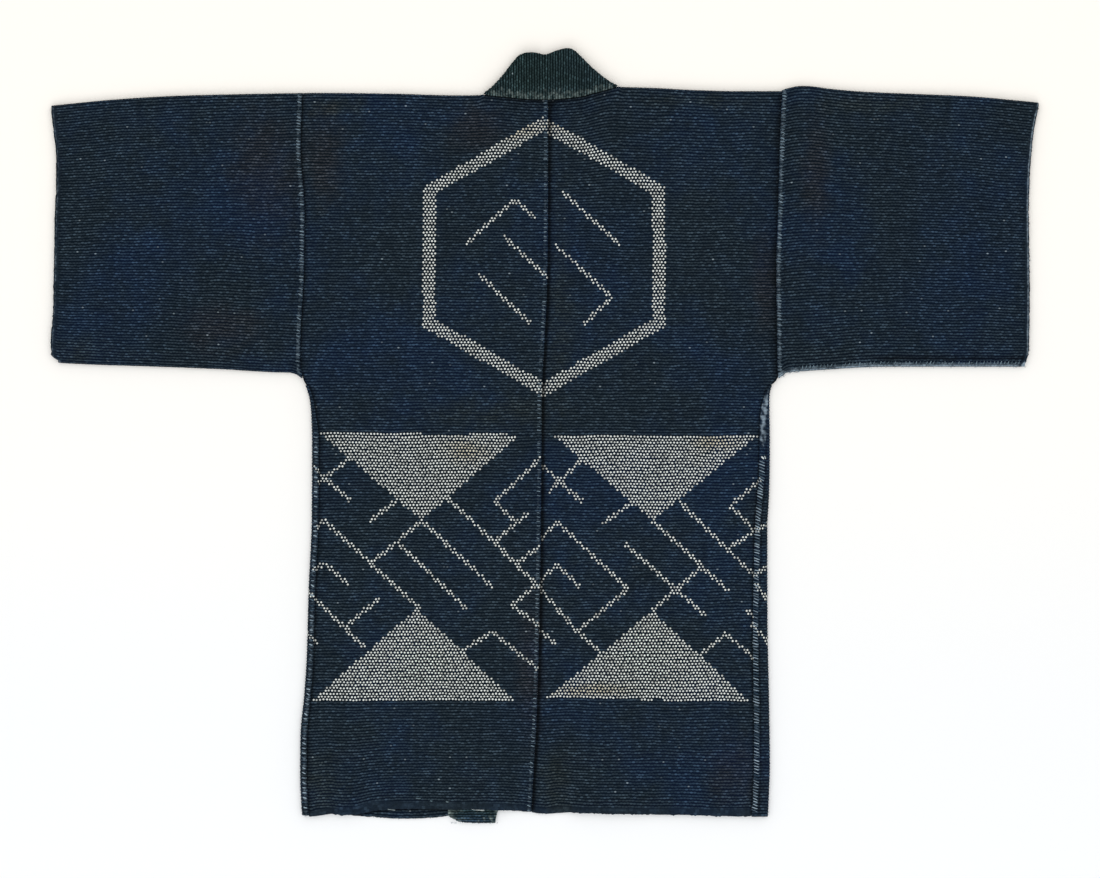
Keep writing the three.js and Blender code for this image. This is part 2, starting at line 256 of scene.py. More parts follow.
def welt(distance):
    """Height of the round ridge that the seam allowances make beside a seam."""
    off = np.minimum(np.abs(distance - SEAM_WIDTH / 2) / (SEAM_WIDTH / 2), 1)
    return SEAM_RISE * (0.5 + 0.5 * np.cos(math.pi * off))


def groove(distance):
    return GROOVE * (smooth(distance, 0, 6) - 1)


def points(x, y, z):
    return np.stack(np.broadcast_arrays(x, y, z), axis=-1).astype(float)


def laid(x, y, base, relief=0):
    """Outer and inner points of cloth that lies face up on base."""
    return points(x, y, base + CLOTH + relief), points(x, y, base)


def face_down(x, y, thick=CLOTH):
    """The same, of cloth that lies on the table with its outer face down."""
    return points(x, y, 0.0), points(x, y, thick)


def hairpin(x, y, dx, dy, turned, thick=CLOTH):
    """The same, of a fold that goes round from the top layer, at 0, to beneath, at 1."""
    middle = bend(x, y, thick)
    bulge, level = np.sin(math.pi * turned), np.cos(math.pi * turned)
    return [
        points(x + dx * radius * bulge, y + dy * radius * bulge, middle + radius * level)
        for radius in (middle, middle - thick)
    ]


def lay_rows(level, foot, head):
    """Rows that are straight in the middle of the cloth and bend to its hem and its top edge."""
    reach = 220
    low = np.clip(1 - (level - HEM) / reach, 0, 1) ** 2
    high = np.clip(1 - (SHOULDER_START - level) / reach, 0, 1) ** 2
    return level + (foot - HEM) * low + (head - SHOULDER_START) * high


def wander(x, y, low, high, seed):
    """How far a hand-sewn row strays, which is nothing at the edges of the cloth."""
    free = smooth(np.minimum(y - low, high - y), 0, 14)
    return free * (0.6 * ripple(x, y, 90, seed) + 0.22 * ripple(x, y * 5, 40, seed + 1))


def stitched(coords, seed):
    """Height of the running stitches, from the place in the cloth counted in stitches and rows."""
    u, v = coords[..., 0], coords[..., 1]
    shift = np.floor(v + 1e-6) % 2 / 2
    on_row = 0.5 - 0.5 * np.cos(math.tau * v)
    on_stitch = -np.cos(math.tau * (u + shift))
    rough = np.random.default_rng(seed).normal(0, 0.045, u.shape)
    return ROW_RISE * (2 * on_row - 1) + STITCH_RISE * on_row * on_stitch + rough


def raise_along(face, other, height):
    """Moves one face of a wall away from the other, in place."""
    across = face - other
    thickness = np.maximum(np.linalg.norm(across, axis=-1, keepdims=True), 1e-6)
    face += across / thickness * height[..., None]


def tiles(i_stops, j_stops):
    return [
        (a, b, c, d)
        for a, b in zip(i_stops[:-1], i_stops[1:])
        for c, d in zip(j_stops[:-1], j_stops[1:])
    ]


def stops(first, last, step, extra=()):
    return sorted({*range(first, last, step), last, *(e for e in extra if first < e < last)})


def ring(*corners):
    """Grid places along a closed line that turns at those corners."""
    places = []
    for (a, b), (c, d) in zip(corners, corners[1:] + corners[:1]):
        if b == d:
            places += [(n, b) for n in range(a, c, 1 if c > a else -1)]
        else:
            places += [(a, n) for n in range(b, d, 1 if d > b else -1)]
    return places


class Wall:
    """A wall of cloth on a grid of places, each with a point on both faces, in millimetres. coords
    tell where a place lies in the cloth, in stitches and rows. Its wear and painted shade value is
    above 0 where the cloth is worn pale and below 0 where shade is painted on it, and plain is 1
    where it has no rows. same gives the place whose points a place shares, and fine marks the
    cells of each face that are made one by one."""

    def __init__(self, columns, rows):
        self.outer, self.inner = np.zeros((2, columns, rows, 3))
        self.coords = np.zeros((columns, rows, 2))
        self.wear, self.plain = np.zeros((2, columns, rows))
        self.same = np.arange(columns * rows).reshape(columns, rows)
        self.fine = np.zeros((2, columns - 1, rows - 1), bool)

    def lay(self, at, faces, u, v, wear=0, plain=0):
        self.outer[at], self.inner[at] = faces
        self.coords[at] = np.stack(np.broadcast_arrays(u, v), -1)
        self.wear[at], self.plain[at] = wear, plain

    def lift(self, at, height):
        self.outer[at][..., 2] += height
        self.inner[at][..., 2] += height

    def whites(self, i, j, white):
        """1 for each cell of a white stitch. A stitch is white as a whole, by where its middle lies."""
        u, v = self.coords[i, j].T
        row = np.floor(v + 1e-6)
        shift = row % 2 / 2
        number = np.floor(u + shift + 1e-6)
        i = i + np.round(2 * (number + 0.5 - shift - u)).astype(int)
        j = j + np.round(2 * (row + 0.5 - v)).astype(int)
        columns, rows = self.same.shape
        middle = self.outer[np.clip(i, 0, columns - 1), np.clip(j, 0, rows - 1)]
        return white(middle[:, 0], middle[:, 1]).astype(float)


# Where each region lies in the baked picture: its left edge and its width
BAKED_STRIPS = np.array([(0.0, 0.46), (0.47, 0.25), (0.73, 0.2), (0.94, 0.06)])
BAKED_MARGIN = 0.002
TOP, HIDDEN, INSIDE, RIM = range(4)


class Faces:
    """The faces of a wall's mesh, each with the grid places of its corners, its region of the baked
    picture and whether it is white. split is the first row of the wall's hidden part."""

    def __init__(self, wall, split):
        self.wall, self.split = wall, split
        self.polygons, self.places, self.regions, self.whites = [], [], [], []
        self.grid = np.arange(wall.same.size).reshape(wall.same.shape)
        self.used = np.zeros((2, wall.same.size), bool)
        self.rim_places, self.rim_length = {}, 0

    def add(self, ids, where, region, white=0.0):
        keep = [n for n in range(len(ids)) if ids[n] != ids[n - 1]]
        if len({ids[n] for n in keep}) < 3:
            return
        self.polygons.append([ids[n] for n in keep])
        self.places.append([where[n] for n in keep])
        self.regions.append(region)
        self.whites.append(white)

    def region(self, face, row):
        return INSIDE if face else HIDDEN if row >= self.split else TOP

    def cells(self, face):
        """The fine cells of one side of the wall, with their corners' grid places."""
        i, j = np.nonzero(self.wall.fine[face])
        grid = self.grid
        return i, j, np.stack([grid[i, j], grid[i + 1, j], grid[i + 1, j + 1], grid[i, j + 1]], -1)

    def mark(self, face, blocks):
        """Notes which places a side uses, so that a tile takes in the places on its edges."""
        same = self.wall.same
        self.used[face, same.reshape(-1)[self.cells(face)[2]].ravel()] = True
        for a, b, c, d in blocks:
            self.used[face, same[[a, b, a, b], [c, c, d, d]]] = True

    def cover(self, face, blocks, white):
        same = self.wall.same
        i, j, where = self.cells(face)
        pale = self.wall.whites(i, j, white) if white and face == 0 else np.zeros(len(i))
        ids = (face * same.size + same.reshape(-1)[where]).tolist()
        order = slice(None, None, -1 if face else 1)
        for n, (corner, place) in enumerate(zip(ids, where.tolist())):
            self.add(corner[order], place[order], self.region(face, j[n]), pale[n])
        for a, b, c, d in blocks:
            loop = [p for p in ring((a, c), (b, c), (b, d), (a, d)) if self.used[face, same[p]]][order]
            ids = [int(face * same.size + same[p]) for p in loop]
            self.add(ids, [self.grid[p] for p in loop], self.region(face, c))

    def close(self, rim):
        """Joins the wall's two sides along an edge, from each place that both use to the next."""
        same = self.wall.same
        loop = [p for n, p in enumerate(rim) if same[p] != same[rim[n - 1]]]
        held = [n for n, p in enumerate(loop) if self.used[:, same[p]].all()]
        for n, start in enumerate(held):
            span = (held[(n + 1) % len(held)] - start) % len(loop) or len(loop)
            steps = [(m, loop[m % len(loop)]) for m in range(start, start + span + 1)]
            corners = [(0, m, p) for m, p in steps if self.used[0, same[p]]][::-1]
            corners += [(1, m, p) for m, p in steps if self.used[1, same[p]]]
            self.rim_places[len(self.polygons)] = [(face, self.rim_length + m) for face, m, _ in corners]
            ids = [int(face * same.size + same[p]) for face, _, p in corners]
            self.add(ids, [self.grid[p] for _, _, p in corners], RIM)
        self.rim_length += len(rim)

    def turn_over(self):
        self.polygons = [p[::-1] for p in self.polygons]
        self.places = [p[::-1] for p in self.places]
        self.rim_places = {n: spots[::-1] for n, spots in self.rim_places.items()}

    def baked(self, sizes, starts):
        """Where each corner of each face lies in the baked picture."""
        place, region = np.concatenate(self.places), np.repeat(self.regions, sizes)
        columns, rows = self.wall.same.shape
        u, row = place // rows / (columns - 1), place % rows
        v = np.where(region == TOP, row / self.split, row / (rows - 1))
        v = np.where(region == HIDDEN, (row - self.split) / max(rows - 1 - self.split, 1), v)
        for n, spots in self.rim_places.items():
            at = starts[n] + np.arange(sizes[n])
            u[at] = [face for face, _ in spots[: sizes[n]]]
            v[at] = [step / self.rim_length for _, step in spots[: sizes[n]]]
        left, width = BAKED_STRIPS[region].T
        u = left + BAKED_MARGIN + u * (width - 2 * BAKED_MARGIN)
        return np.stack([u, BAKED_MARGIN + v * (1 - 2 * BAKED_MARGIN)], -1)


def sheet(name, wall, blocks, rims, split, white=None):
    """The closed mesh of a wall. blocks are larger tiles where nothing shows, rims are the closed
    edges and split is the first row of the hidden part. white tells which stitches are undyed."""
    faces = Faces(wall, split)
    for face in (0, 1):
        faces.mark(face, blocks[face])
    for face in (0, 1):
        faces.cover(face, blocks[face], white)
    for rim in rims:
        faces.close(rim)
    i, j, _ = faces.cells(0)
    a, b, d = wall.outer[i, j], wall.outer[i + 1, j], wall.outer[i, j + 1]
    if np.einsum("nk,nk->n", np.cross(b - a, d - a), (wall.outer - wall.inner)[i, j]).sum() < 0:
        faces.turn_over()

    spots = np.concatenate([wall.outer.reshape(-1, 3), wall.inner.reshape(-1, 3)]) * MM
    spots[:, 2] = np.maximum(spots[:, 2], 0)
    kept, compact = np.unique(np.concatenate(faces.polygons), return_inverse=True)
    sizes = np.array([len(p) for p in faces.polygons])
    starts = np.cumsum(sizes) - sizes
    polygons = [compact[start : start + size].tolist() for start, size in zip(starts, sizes)]
    mesh = bpy.data.meshes.new(name)
    mesh.from_pydata(spots[kept].tolist(), [], polygons)

    coords = wall.coords.reshape(-1, 2)[np.concatenate(faces.places)]
    for layer, uv in (("cloth", coords), ("OFBake", faces.baked(sizes, starts))):
        mesh.uv_layers.new(name=layer).data.foreach_set("uv", uv.astype(np.float32).ravel())
    whites = mesh.attributes.new("white", "FLOAT", "FACE")
    whites.data.foreach_set("value", np.array(faces.whites, np.float32))
    for key in ("wear", "plain"):
        values = np.tile(getattr(wall, key).ravel(), 2)[kept].astype(np.float32)
        mesh.attributes.new(key, "FLOAT", "POINT").data.foreach_set("value", values)

    piece = bpy.data.objects.new(name, mesh)
    bpy.context.scene.collection.objects.link(piece)
    bpy.ops.object.select_all(action="DESELECT")
    piece.select_set(True)
    bpy.context.view_layer.objects.active = piece
    bpy.ops.object.shade_smooth_by_angle(angle=math.radians(60))
    return piece


# The dyed pattern: white stitches left undyed. A hexagonal band stands on the back, and across the
# skirt two rows of triangles face each other, with broken fret lines on a slanting lattice between.
EMBLEM_AT = (-1.3, 232.7)
EMBLEM_REACH = 157.6  # from the middle to a flat side
EMBLEM_BAND = 17
LATTICE = (31.6, 27.6)
LINE_HALF = 2.8
LEFT_APEX = (-159.9, -109.9)
RIGHT_APEX = (139.6, -109.7)
# Stains on the white stitches, as x, y, half width and half height
STAINS = [(-60, 398, 70, 16), (40, 405, 60, 14), (221, -8, 38, 14), (-105, -20, 40, 22), (60, -330, 70, 12)]
TINTS = [  # what the dye is multiplied by, and where, as the rows of STAINS say it
    (
        (0.84, 0.95, 1.16, 1),
        [(-545, 185, 120, 90), (530, 240, 110, 150), (230, 95, 75, 70), (-235, 100, 95, 70)]
        + [(120, -60, 90, 60), (-260, -60, 70, 50), (-30, -370, 90, 50), (60, 250, 120, 90)],
    ),
    (
        (1.6, 1.02, 0.86, 1),
        [(-365, 340, 60, 110), (352, 340, 26, 105), (245, -435, 45, 60), (-285, 360, 34, 80)]
        + [(-90, 400, 50, 40), (285, 200, 22, 90), (-420, 140, 70, 40), (-20, -300, 24, 120)],
    ),
    (
        (1.4, 1.12, 0.8, 1),
        [(-275, 428, 55, 18), (-288, -455, 40, 55), (14, -450, 30, 60), (-60, 30, 110, 28)]
        + [(-600, 110, 40, 30), (200, 436, 90, 14), (430, 430, 90, 16), (20, 180, 20, 200)],
    ),
    ((1.3, 1.4, 2.4, 1), [(-94, -500, 44, 16)]),
]
TRIANGLES = [  # the two ends of the long side, then the point
    ((-293.2, 3.9), (-31.2, 2.6), LEFT_APEX),
    ((-303.6, -343.9), (-38.2, -343.9), (-165.9, -223.1)),
    ((9.1, 2.0), (278.2, 1.3), RIGHT_APEX),
    ((1.8, -339.3), (266.1, -345.8), (138.5, -226.2)),
]
# Fret lines, in steps of the lattice from the point of the triangle above, or from the emblem's middle
LEFT_LINES = [
    [(-3, 2.9), (-4, 2), (-3, 1)],
    [(-4.4, 2.5), (-4, 2), (-4.2, 1.8)],
    [(-1.1, 0.9), (-2.1, 0)],
    [(0, 0), (-1, -1), (-2.1, -2)],
    [(-1, -1), (1.8, -4.1)],
    [(0, 0), (2.9, -3.1)],
    [(1.1, 1), (3, -1), (3.9, -2.1), (5.2, -3.5)],
    [(5.2, 3.3), (3, 0.9), (3.9, -0.1)],
    [(4.3, 0.3), (3, -1)],
    [(3.9, -2), (5, -1.1)],
    [(4.7, -3), (3.7, -4), (5, -5.1)],
    [(-4.3, -0.3), (-4, 0), (-2.1, -2), (-0.1, -4.1)],
    [(-4.4, -2.3), (-4, -2), (-3, -3)],
    [(-4.7, -3.3), (-3.2, -5), (-2.4, -5.9)],
    [(-1.8, -3.7), (-3.2, -5)],
    [(1.7, -6.1), (2.9, -5.2), (5, -7.2)],
    [(-4.8, -5.2), (-4.3, -5.8)],
]
RIGHT_LINES = [
    [(-5, 3.1), (-2.9, 0.9)],
    [(-4.2, 1.4), (-2.9, 2.9)],
    [(-0.9, 0.8), (-2, -0.1)],
    [(0, 0), (3.1, -3.3)],
    [(1.1, 0.9), (4.1, -2.5), (4.3, -2.5), (4.8, -2.1)],
    [(4.4, 1.9), (3.2, 0.7), (4.2, -0.5), (4.8, -0.1)],
    [(4.2, -0.5), (3.1, -1.3)],
    [(2, -2.2), (0, -4.2)],
    [(-1.1, -1.1), (2.1, -4.4)],
    [(-5, -1.3), (-3.9, -0.1), (-1, -3.2), (-3.1, -5.2)],
    [(-5, -3.2), (-3.9, -2.1), (-3, -3.1)],
    [(-5, -2.7), (-3.1, -5.2), (-2.1, -6.2)],
    [(-5, -4.8), (-4, -5.8)],
    [(2, -6.3), (3, -5.3), (4.1, -6.4)],
    [(4.2, -3), (4.8, -3.8)],
    [(4.1, -4.9), (4.8, -5.8)],
    [(3.9, -4.2), (4.1, -4.5)],
]
EMBLEM_LINES = [
    [(-3.2, 0.6), (-1.2, 2.7), (-0.4, 1.9)],
    [(0.8, 3), (3.1, 0.6)],
    [(-2.7, -0.8), (-0.6, -3.1)],
    [(0.5, 0.5), (2.8, -1.9), (1.7, -3.1)],
    [(-1.6, 0.9), (0.1, -0.9)],
]


def near_lines(x, y, start, lines):
    found = np.zeros(x.shape, bool)
    for line in lines:
        spots = [(start[0] + u * LATTICE[0], start[1] + v * LATTICE[1]) for u, v in line]
        for (ax, ay), (bx, by) in zip(spots[:-1], spots[1:]):
            length = (bx - ax) ** 2 + (by - ay) ** 2
            along = np.clip(((x - ax) * (bx - ax) + (y - ay) * (by - ay)) / length, 0, 1)
            found |= np.hypot(x - ax - along * (bx - ax), y - ay - along * (by - ay)) < LINE_HALF
    return found


def in_triangle(x, y, left, right, apex):
    base = lerp(left[1], right[1], (x - left[0]) / (right[0] - left[0]))
    share = (y - base) / (apex[1] - base)
    inside = (share >= 0) & (share <= 1)
    return inside & (x >= lerp(left[0], apex[0], share)) & (x <= lerp(right[0], apex[0], share))


def dyed_white(x, y):
    """True where a stitch with its middle there is white."""
    ex, ey = x - EMBLEM_AT[0], y - EMBLEM_AT[1]
    slants = [np.abs(ex / 2 + s * ey * math.sqrt(3) / 2) for s in (1, -1)]
    reach = np.maximum(np.abs(ex), np.maximum(*slants))
    found = (reach < EMBLEM_REACH) & (reach > EMBLEM_REACH - EMBLEM_BAND)
    found |= near_lines(x, y, EMBLEM_AT, EMBLEM_LINES)
    for left, right, apex in TRIANGLES:
        found |= in_triangle(x, y, left, right, apex)
    seam = CENTRE(y)
    band = y < 10
    found |= band & (x < seam) & near_lines(x, y, LEFT_APEX, LEFT_LINES)
    found |= band & (x > seam) & near_lines(x, y, RIGHT_APEX, RIGHT_LINES)
    return found


class Wire:
    """A socket of a finish. Arithmetic on it adds Math nodes."""

    def __init__(self, finish, socket):
        self.finish, self.socket = finish, socket

    def maths(self, operation, *values):
        return self.finish.node("ShaderNodeMath", {"operation": operation}, values)

    def __add__(self, other):
        return self.maths("ADD", self, other)

    def __radd__(self, other):
        return self.maths("ADD", other, self)

    def __sub__(self, other):
        return self.maths("SUBTRACT", self, other)

    def __rsub__(self, other):
        return self.maths("SUBTRACT", other, self)

    def __mul__(self, other):
        return self.maths("MULTIPLY", self, other)

    def __rmul__(self, other):
        return self.maths("MULTIPLY", other, self)

    def __truediv__(self, other):
        return self.maths("DIVIDE", self, other)

    def __gt__(self, other):
        return self.maths("GREATER_THAN", self, other)


def colour(code):
    """The linear colour of a hex code."""
    parts = [int(code[n : n + 2], 16) / 255 for n in (1, 3, 5)]
    linear = [p / 12.92 if p <= 0.04045 else ((p + 0.055) / 1.055) ** 2.4 for p in parts]
    return (*linear, 1)


class Finish:
    """A material, whose nodes are added one by one."""

    def __init__(self, name):
        self.material = bpy.data.materials.new(name)
        self.material.use_nodes = True
        self.tree = self.material.node_tree
        self.shader = self.tree.nodes["Principled BSDF"]

    def node(self, kind, settings, inputs, output=0):
        made = self.tree.nodes.new(kind)
        for key, value in settings.items():
            setattr(made, key, value)
        for key, value in inputs.items() if isinstance(inputs, dict) else enumerate(inputs):
            if isinstance(value, Wire):
                self.tree.links.new(value.socket, made.inputs[key])
            else:
                made.inputs[key].default_value = value
        return Wire(self, made.outputs[output])

    def place(self):
        return self.node("ShaderNodeTexCoord", {}, {}, "Object")

    def parts(self, vector):
        split = self.node("ShaderNodeSeparateXYZ", {}, [vector])
        return [Wire(self, output) for output in split.socket.node.outputs]

    def noise(self, vector, scale, detail=2, rough=0.5):
        values = {"Vector": vector, "Scale": scale, "Detail": detail, "Roughness": rough}
        return self.node("ShaderNodeTexNoise", {}, values)

    def ramp(self, value, low, high):
        """0 below low and 1 above high, with a soft step between. high may be the lower one."""
        settings = {"interpolation_type": "SMOOTHSTEP"}
        return self.node("ShaderNodeMapRange", settings, {"Value": value, "From Min": low, "From Max": high})

    def mix(self, share, first, second, blend="MIX"):
        settings = {"data_type": "RGBA", "blend_type": blend}
        return self.node("ShaderNodeMix", settings, {0: share, 6: first, 7: second}, 2)

    def shade(self, tint, strength):
        """A colour times a number."""
        settings = {"operation": "SCALE"}
        return self.node("ShaderNodeVectorMath", settings, {"Vector": tint, "Scale": strength})

    def spots(self, place, ragged, table):
        """How deep a place lies in soft spots with ragged edges, from 0 outside to 1."""
        total = 0.0
        for x, y, wide, high in table:
            sizes = {"Location": (x * MM, y * MM, 0), "Scale": (wide * MM, high * MM, 1)}
            there = self.node("ShaderNodeMapping", {"vector_type": "TEXTURE"}, {"Vector": place, **sizes})
            away = self.node("ShaderNodeVectorMath", {"operation": "LENGTH"}, [there], "Value")
            total = total + self.ramp(away + ragged, 1.1, 0.1)
        return total

    def attribute(self, name):
        return self.node("ShaderNodeAttribute", {"attribute_name": name}, {}, "Fac")

    def finish(self, base, roughness, height, bump):
        """Links what changes over the surface to the shader. height is in metres."""
        normal = self.node("ShaderNodeBump", {}, {"Strength": bump, "Distance": 1.0, "Height": height})
        for key, value in {"Base Color": base, "Roughness": roughness, "Normal": normal}.items():
            self.tree.links.new(value.socket, self.shader.inputs[key])
        self.shader.inputs["Specular IOR Level"].default_value = 0.06
        return self.material


def quilted_finish(name, dark, blue, thread, thread_blue, pale, rubbed, seed):
    """Indigo cotton under close rows of running stitch, which are white where the dye was kept off.
    The ground goes from dark to blue in patches and the stitches from thread to thread_blue. pale is
    undyed and rubbed is worn."""
    f = Finish(name)
    place = f.place()
    u, v, _ = f.parts(f.node("ShaderNodeUVMap", {"uv_map": "cloth"}, {}))

    # Which stitch of which row a place is in, its own chances, and how far it is from its middle
    row = v.maths("FLOOR", v)
    across = u + row.maths("FLOORED_MODULO", row, 2.0) * 0.5
    number = across.maths("FLOOR", across)
    cell = f.node("ShaderNodeCombineXYZ", {}, [number, row, seed])
    luck = f.node("ShaderNodeTexWhiteNoise", {}, {"Vector": cell}, "Value")
    tint = f.node("ShaderNodeTexWhiteNoise", {}, {"Vector": cell}, "Color")
    sway, sway_row, chance = f.parts(tint)
    du = across - number - 0.5 + (sway - 0.5) * 0.16
    dv = v - row - 0.5 + (sway_row - 0.5) * 0.2

    def oval(half_long, half_wide, soft):
        x, y = du / half_long, dv / half_wide
        reach = x * x + y * y
        return f.ramp(reach, 1 + soft, 1 - soft)

    # The indigo, in patches, with the stitches in lighter uneven thread
    patches = f.noise(place, 6.0, 3, 0.55)
    clouds = f.noise(place, 38.0, 3, 0.6)
    motes = f.noise(place, 270.0, 2, 0.6)
    grain = f.noise(place, 900.0, 2, 0.6)
    along_row = f.node("ShaderNodeCombineXYZ", {}, [u * 0.23, row * 2.3, seed])
    streak = f.noise(along_row, 1.0, 2, 0.6)
    warp = f.noise(f.node("ShaderNodeCombineXYZ", {}, [u * 0.9, row * 0.05, seed + 5]), 1.0, 2, 0.6)
    plain = f.attribute("plain")
    glint = luck * luck * luck * luck
    blueness = f.ramp(patches * 0.7 + clouds * 0.3, 0.4, 0.7)
    ground = f.mix(blueness, colour(dark), colour(blue))
    ground = f.shade(ground, 0.7 + 0.6 * grain)
    line = f.mix(blueness, colour(thread), colour(thread_blue))
    uneven = 0.9 * streak + 0.7 * warp + 0.3 * clouds + 0.6 * grain
    line = f.shade(line, 1.1 * glint + uneven - 0.47)
    raised = oval(0.54, 0.26, 0.6) * (1 - plain)
    cloth = f.mix(raised, ground, line)
    smooth_cloth = f.shade(f.mix(0.4, ground, line), 0.1 + 0.8 * grain + 1.0 * motes)
    cloth = f.mix(plain, cloth, smooth_cloth)
    ragged = (clouds - 0.5) * 0.9
    for times, table in TINTS:
        cloth = f.mix(f.spots(place, ragged, table) * 0.6, cloth, times, "MULTIPLY")

    # Wear, a few pale flecks, the undyed stitches with their stains, and the painted shade
    wear = f.attribute("wear")
    worn = f.ramp(wear * 0.9 + clouds * 0.3 + motes * 0.8 + streak * 0.3 - 0.95, 0.0, 0.65)
    cloth = f.mix(worn * (0.3 + 0.5 * raised + 0.3 * plain), cloth, colour(rubbed))
    fleck = (chance > 0.996) * oval(0.3, 0.2, 0.5) * (1 - plain)
    cloth = f.mix(fleck * luck * 0.5, cloth, colour("#a9b8bf"))

    bright = 0.12 + 0.35 * f.ramp(luck, 0.0, 0.5) + 0.35 * streak + 0.3 * clouds + 0.3 * warp
    white = f.shade(f.mix(clouds, colour(pale), colour("#d0d5d0")), bright)
    white = f.mix(f.spots(place, ragged, STAINS) * 0.7, white, (0.8, 0.67, 0.46, 1), "MULTIPLY")
    stitch = f.attribute("white") * oval(0.28, 0.3, 0.3) * (1 - plain)
    cloth = f.mix(stitch, cloth, white)
    # Painted shade: below 0, the wear value darkens the cloth in dips by seams and under edges
    cloth = f.shade(cloth, 1 - 0.8 * f.ramp(wear, 0.0, -1.0))
    height = (oval(0.55, 0.4, 0.8) * (1 - plain) * 0.7 + grain * 0.5) * 0.0004
    return f.finish(cloth, 0.88 + 0.1 * grain, height, 0.6)


def body(name, side, seed):
    out = side["out"]

    def fold_start(y):
        at = side["fold"](y)
        return at - out * bend(at, y)

    def turn_end(y):
        return side["fold"](y) - out * side["turn"](y)

    def side_line(y, below):
        share = np.clip((y - SIDE_TOP) / (ARMPIT - SIDE_TOP), 0, 1) ** side["armpit_bend"]
        return lerp(below(np.minimum(y, SIDE_TOP)), side["armhole"](np.maximum(y, ARMPIT)), share)

    def shoulder_top(x):
        return side["shoulder"](x) - bend(x, SHOULDER)

    def stray(more):
        """How far each column's last two places stray at a hem."""
        return np.random.default_rng(seed + more).normal(0, RAGGED, (side_column + 1, 2))

    back_level = np.linspace(HEM, SHOULDER_START, BACK_ROWS + 1)
    above = np.linspace(SHOULDER_START, SIDE_TOP, ABOVE_ROWS + 1)
    front_level = np.concatenate([above[:-1], np.linspace(SIDE_TOP, HEM, FRONT_ROWS + 1)])
    fold_row = BACK_ROWS + FOLD_STEPS + 1  # first row of the front, on the surface
    side_row = fold_row + ABOVE_ROWS  # the row where the side seam starts
    last_row = fold_row + len(front_level) - 1

    centre = CENTRE(back_level) + out * JOIN / 2
    side_back = side_line(back_level, lambda y: turn_end(y) - out * JOIN / 2)
    width = np.abs(side_back - centre)
    side_column = int(round(width.max() / COLUMN))
    reach = np.round(width / COLUMN).astype(int)
    neck = int(round(abs(side["collar_seam"](SHOULDER) - centre[-1]) / COLUMN))
    strip = int(round((side["turn"](HEM) - FOLD_TAKES) / COLUMN))
    turned = FOLD_STEPS + 1 + strip
    last_column = side_column + turned
    wall = Wall(last_column + 1, last_row + 1)
    column = np.arange(side_column + 1)[:, None]
    beyond_neck = smooth(column, neck, neck + 3)

    # The back, with painted shade beside the seams, under the collar's edge and across the shoulders
    row = np.arange(BACK_ROWS + 1)
    distance = np.where(column >= reach, width, np.minimum(column * COLUMN, width))
    x = centre + out * distance
    head = lerp(NECK_SEAM(x) - JOIN / 2, shoulder_top(x), beyond_neck)
    eased = lerp(NECK_SEAM(x), shoulder_top(x), smooth(column, neck - 14, neck + 6))
    y = lay_rows(back_level, side["hem_back"](x), eased)
    y = y + (head - eased) * smooth(back_level, SHOULDER_START - 16, SHOULDER_START)
    y = y + wander(x, y, HEM, SHOULDER_START, seed)
    y[:, :2] += stray(7) * (1, 0.4)
    to_side, to_hem = np.abs(x - side_back), y - side["hem_back"](x)
    drawn = groove(to_side) + (welt(distance) if out < 0 else groove(distance))
    # Painted shade by the seams, under the collar's edge and below the collar
    painted_shade = 0.9 * fading(to_side, 3.5 if out < 0 else lerp(3, 8, smooth(y, 60, 110)))
    painted_shade += 0.8 * fading(np.abs(head - y), 3) * (column < neck)
    painted_shade += 0.35 * bell(SHOULDER - y, 34) * bell(x, 80, 4)
    if out > 0:
        painted_shade += 0.9 * bell(distance, 4.5) + 0.3 * fading(distance, 9)
    rubbed = 0.4 * bell(distance - SEAM_WIDTH / 2, 2.5) if out < 0 else 0
    wear = rubbed + 0.2 * fading(to_hem, 5) - np.minimum(painted_shade, 1)
    plain = 1 - smooth(to_hem - PLAIN_HEM(x), -2.5, 1)
    back = slice(0, side_column + 1), slice(0, BACK_ROWS + 1)
    faces = laid(x, y, under(x, y) + creased(x, y), drawn)
    wall.lay(back, faces, distance / STITCH, row / 2, wear, plain)
    wall.same[back] = wall.same[np.minimum(column, reach), row]

    # The front beneath, whose rows above the side seam are coarse
    front_side = side_line(front_level, fold_start)
    front_seam = side["collar_seam"](front_level) + out * JOIN / 2
    front_width = np.abs(front_side - front_seam)
    least = np.maximum(side_column - np.round(front_width / COLUMN).astype(int), neck)
    from_side = np.minimum((side_column - column) * COLUMN, front_width)
    from_side = np.where(column <= least, front_width, from_side)
    fx = front_side - out * from_side
    fy = lay_rows(front_level, side["hem_front"](fx), shoulder_top(fx))
    fy[:, -2:] += stray(8) * (0.4, 1)
    front = slice(0, side_column + 1), slice(fold_row, last_row + 1)
    v = BACK_ROWS / 2 + FOLD_STITCHES
    above_v = np.linspace(v, v + ABOVE_STITCHES, ABOVE_ROWS + 1)
    front_v = np.concatenate([above_v[:-1], v + ABOVE_STITCHES + np.arange(FRONT_ROWS + 1) / 2])
    # Painted shadow: a dark line on the front just below the back's hem, which lies over it
    wear = 0.15 - 0.9 * bell(fy - side["hem_back"](fx) + 1, 2.5)
    wall.lay(front, face_down(fx, fy), side_column / 2 - from_side / STITCH, front_v, wear)
    wall.same[front] = wall.same[np.maximum(column, least), np.arange(fold_row, last_row + 1)]

    # The shoulder fold, which hardly bulges under the collar
    way = lerp(0.15, 1, beyond_neck[:, 0])
    for step in range(1, FOLD_STEPS + 1):
        share = step / (FOLD_STEPS + 1)
        at = slice(0, side_column + 1), BACK_ROWS + step
        hx, hy = lerp(x[:, -1], fx[:, 0], share), y[:, -1]
        v = BACK_ROWS / 2 + share * FOLD_STITCHES
        wall.lay(at, hairpin(hx, hy, 0, way, share), column[:, 0] / 2, v, 0.25)
        wall.lift(at, creased(hx, hy) * (1 - share))

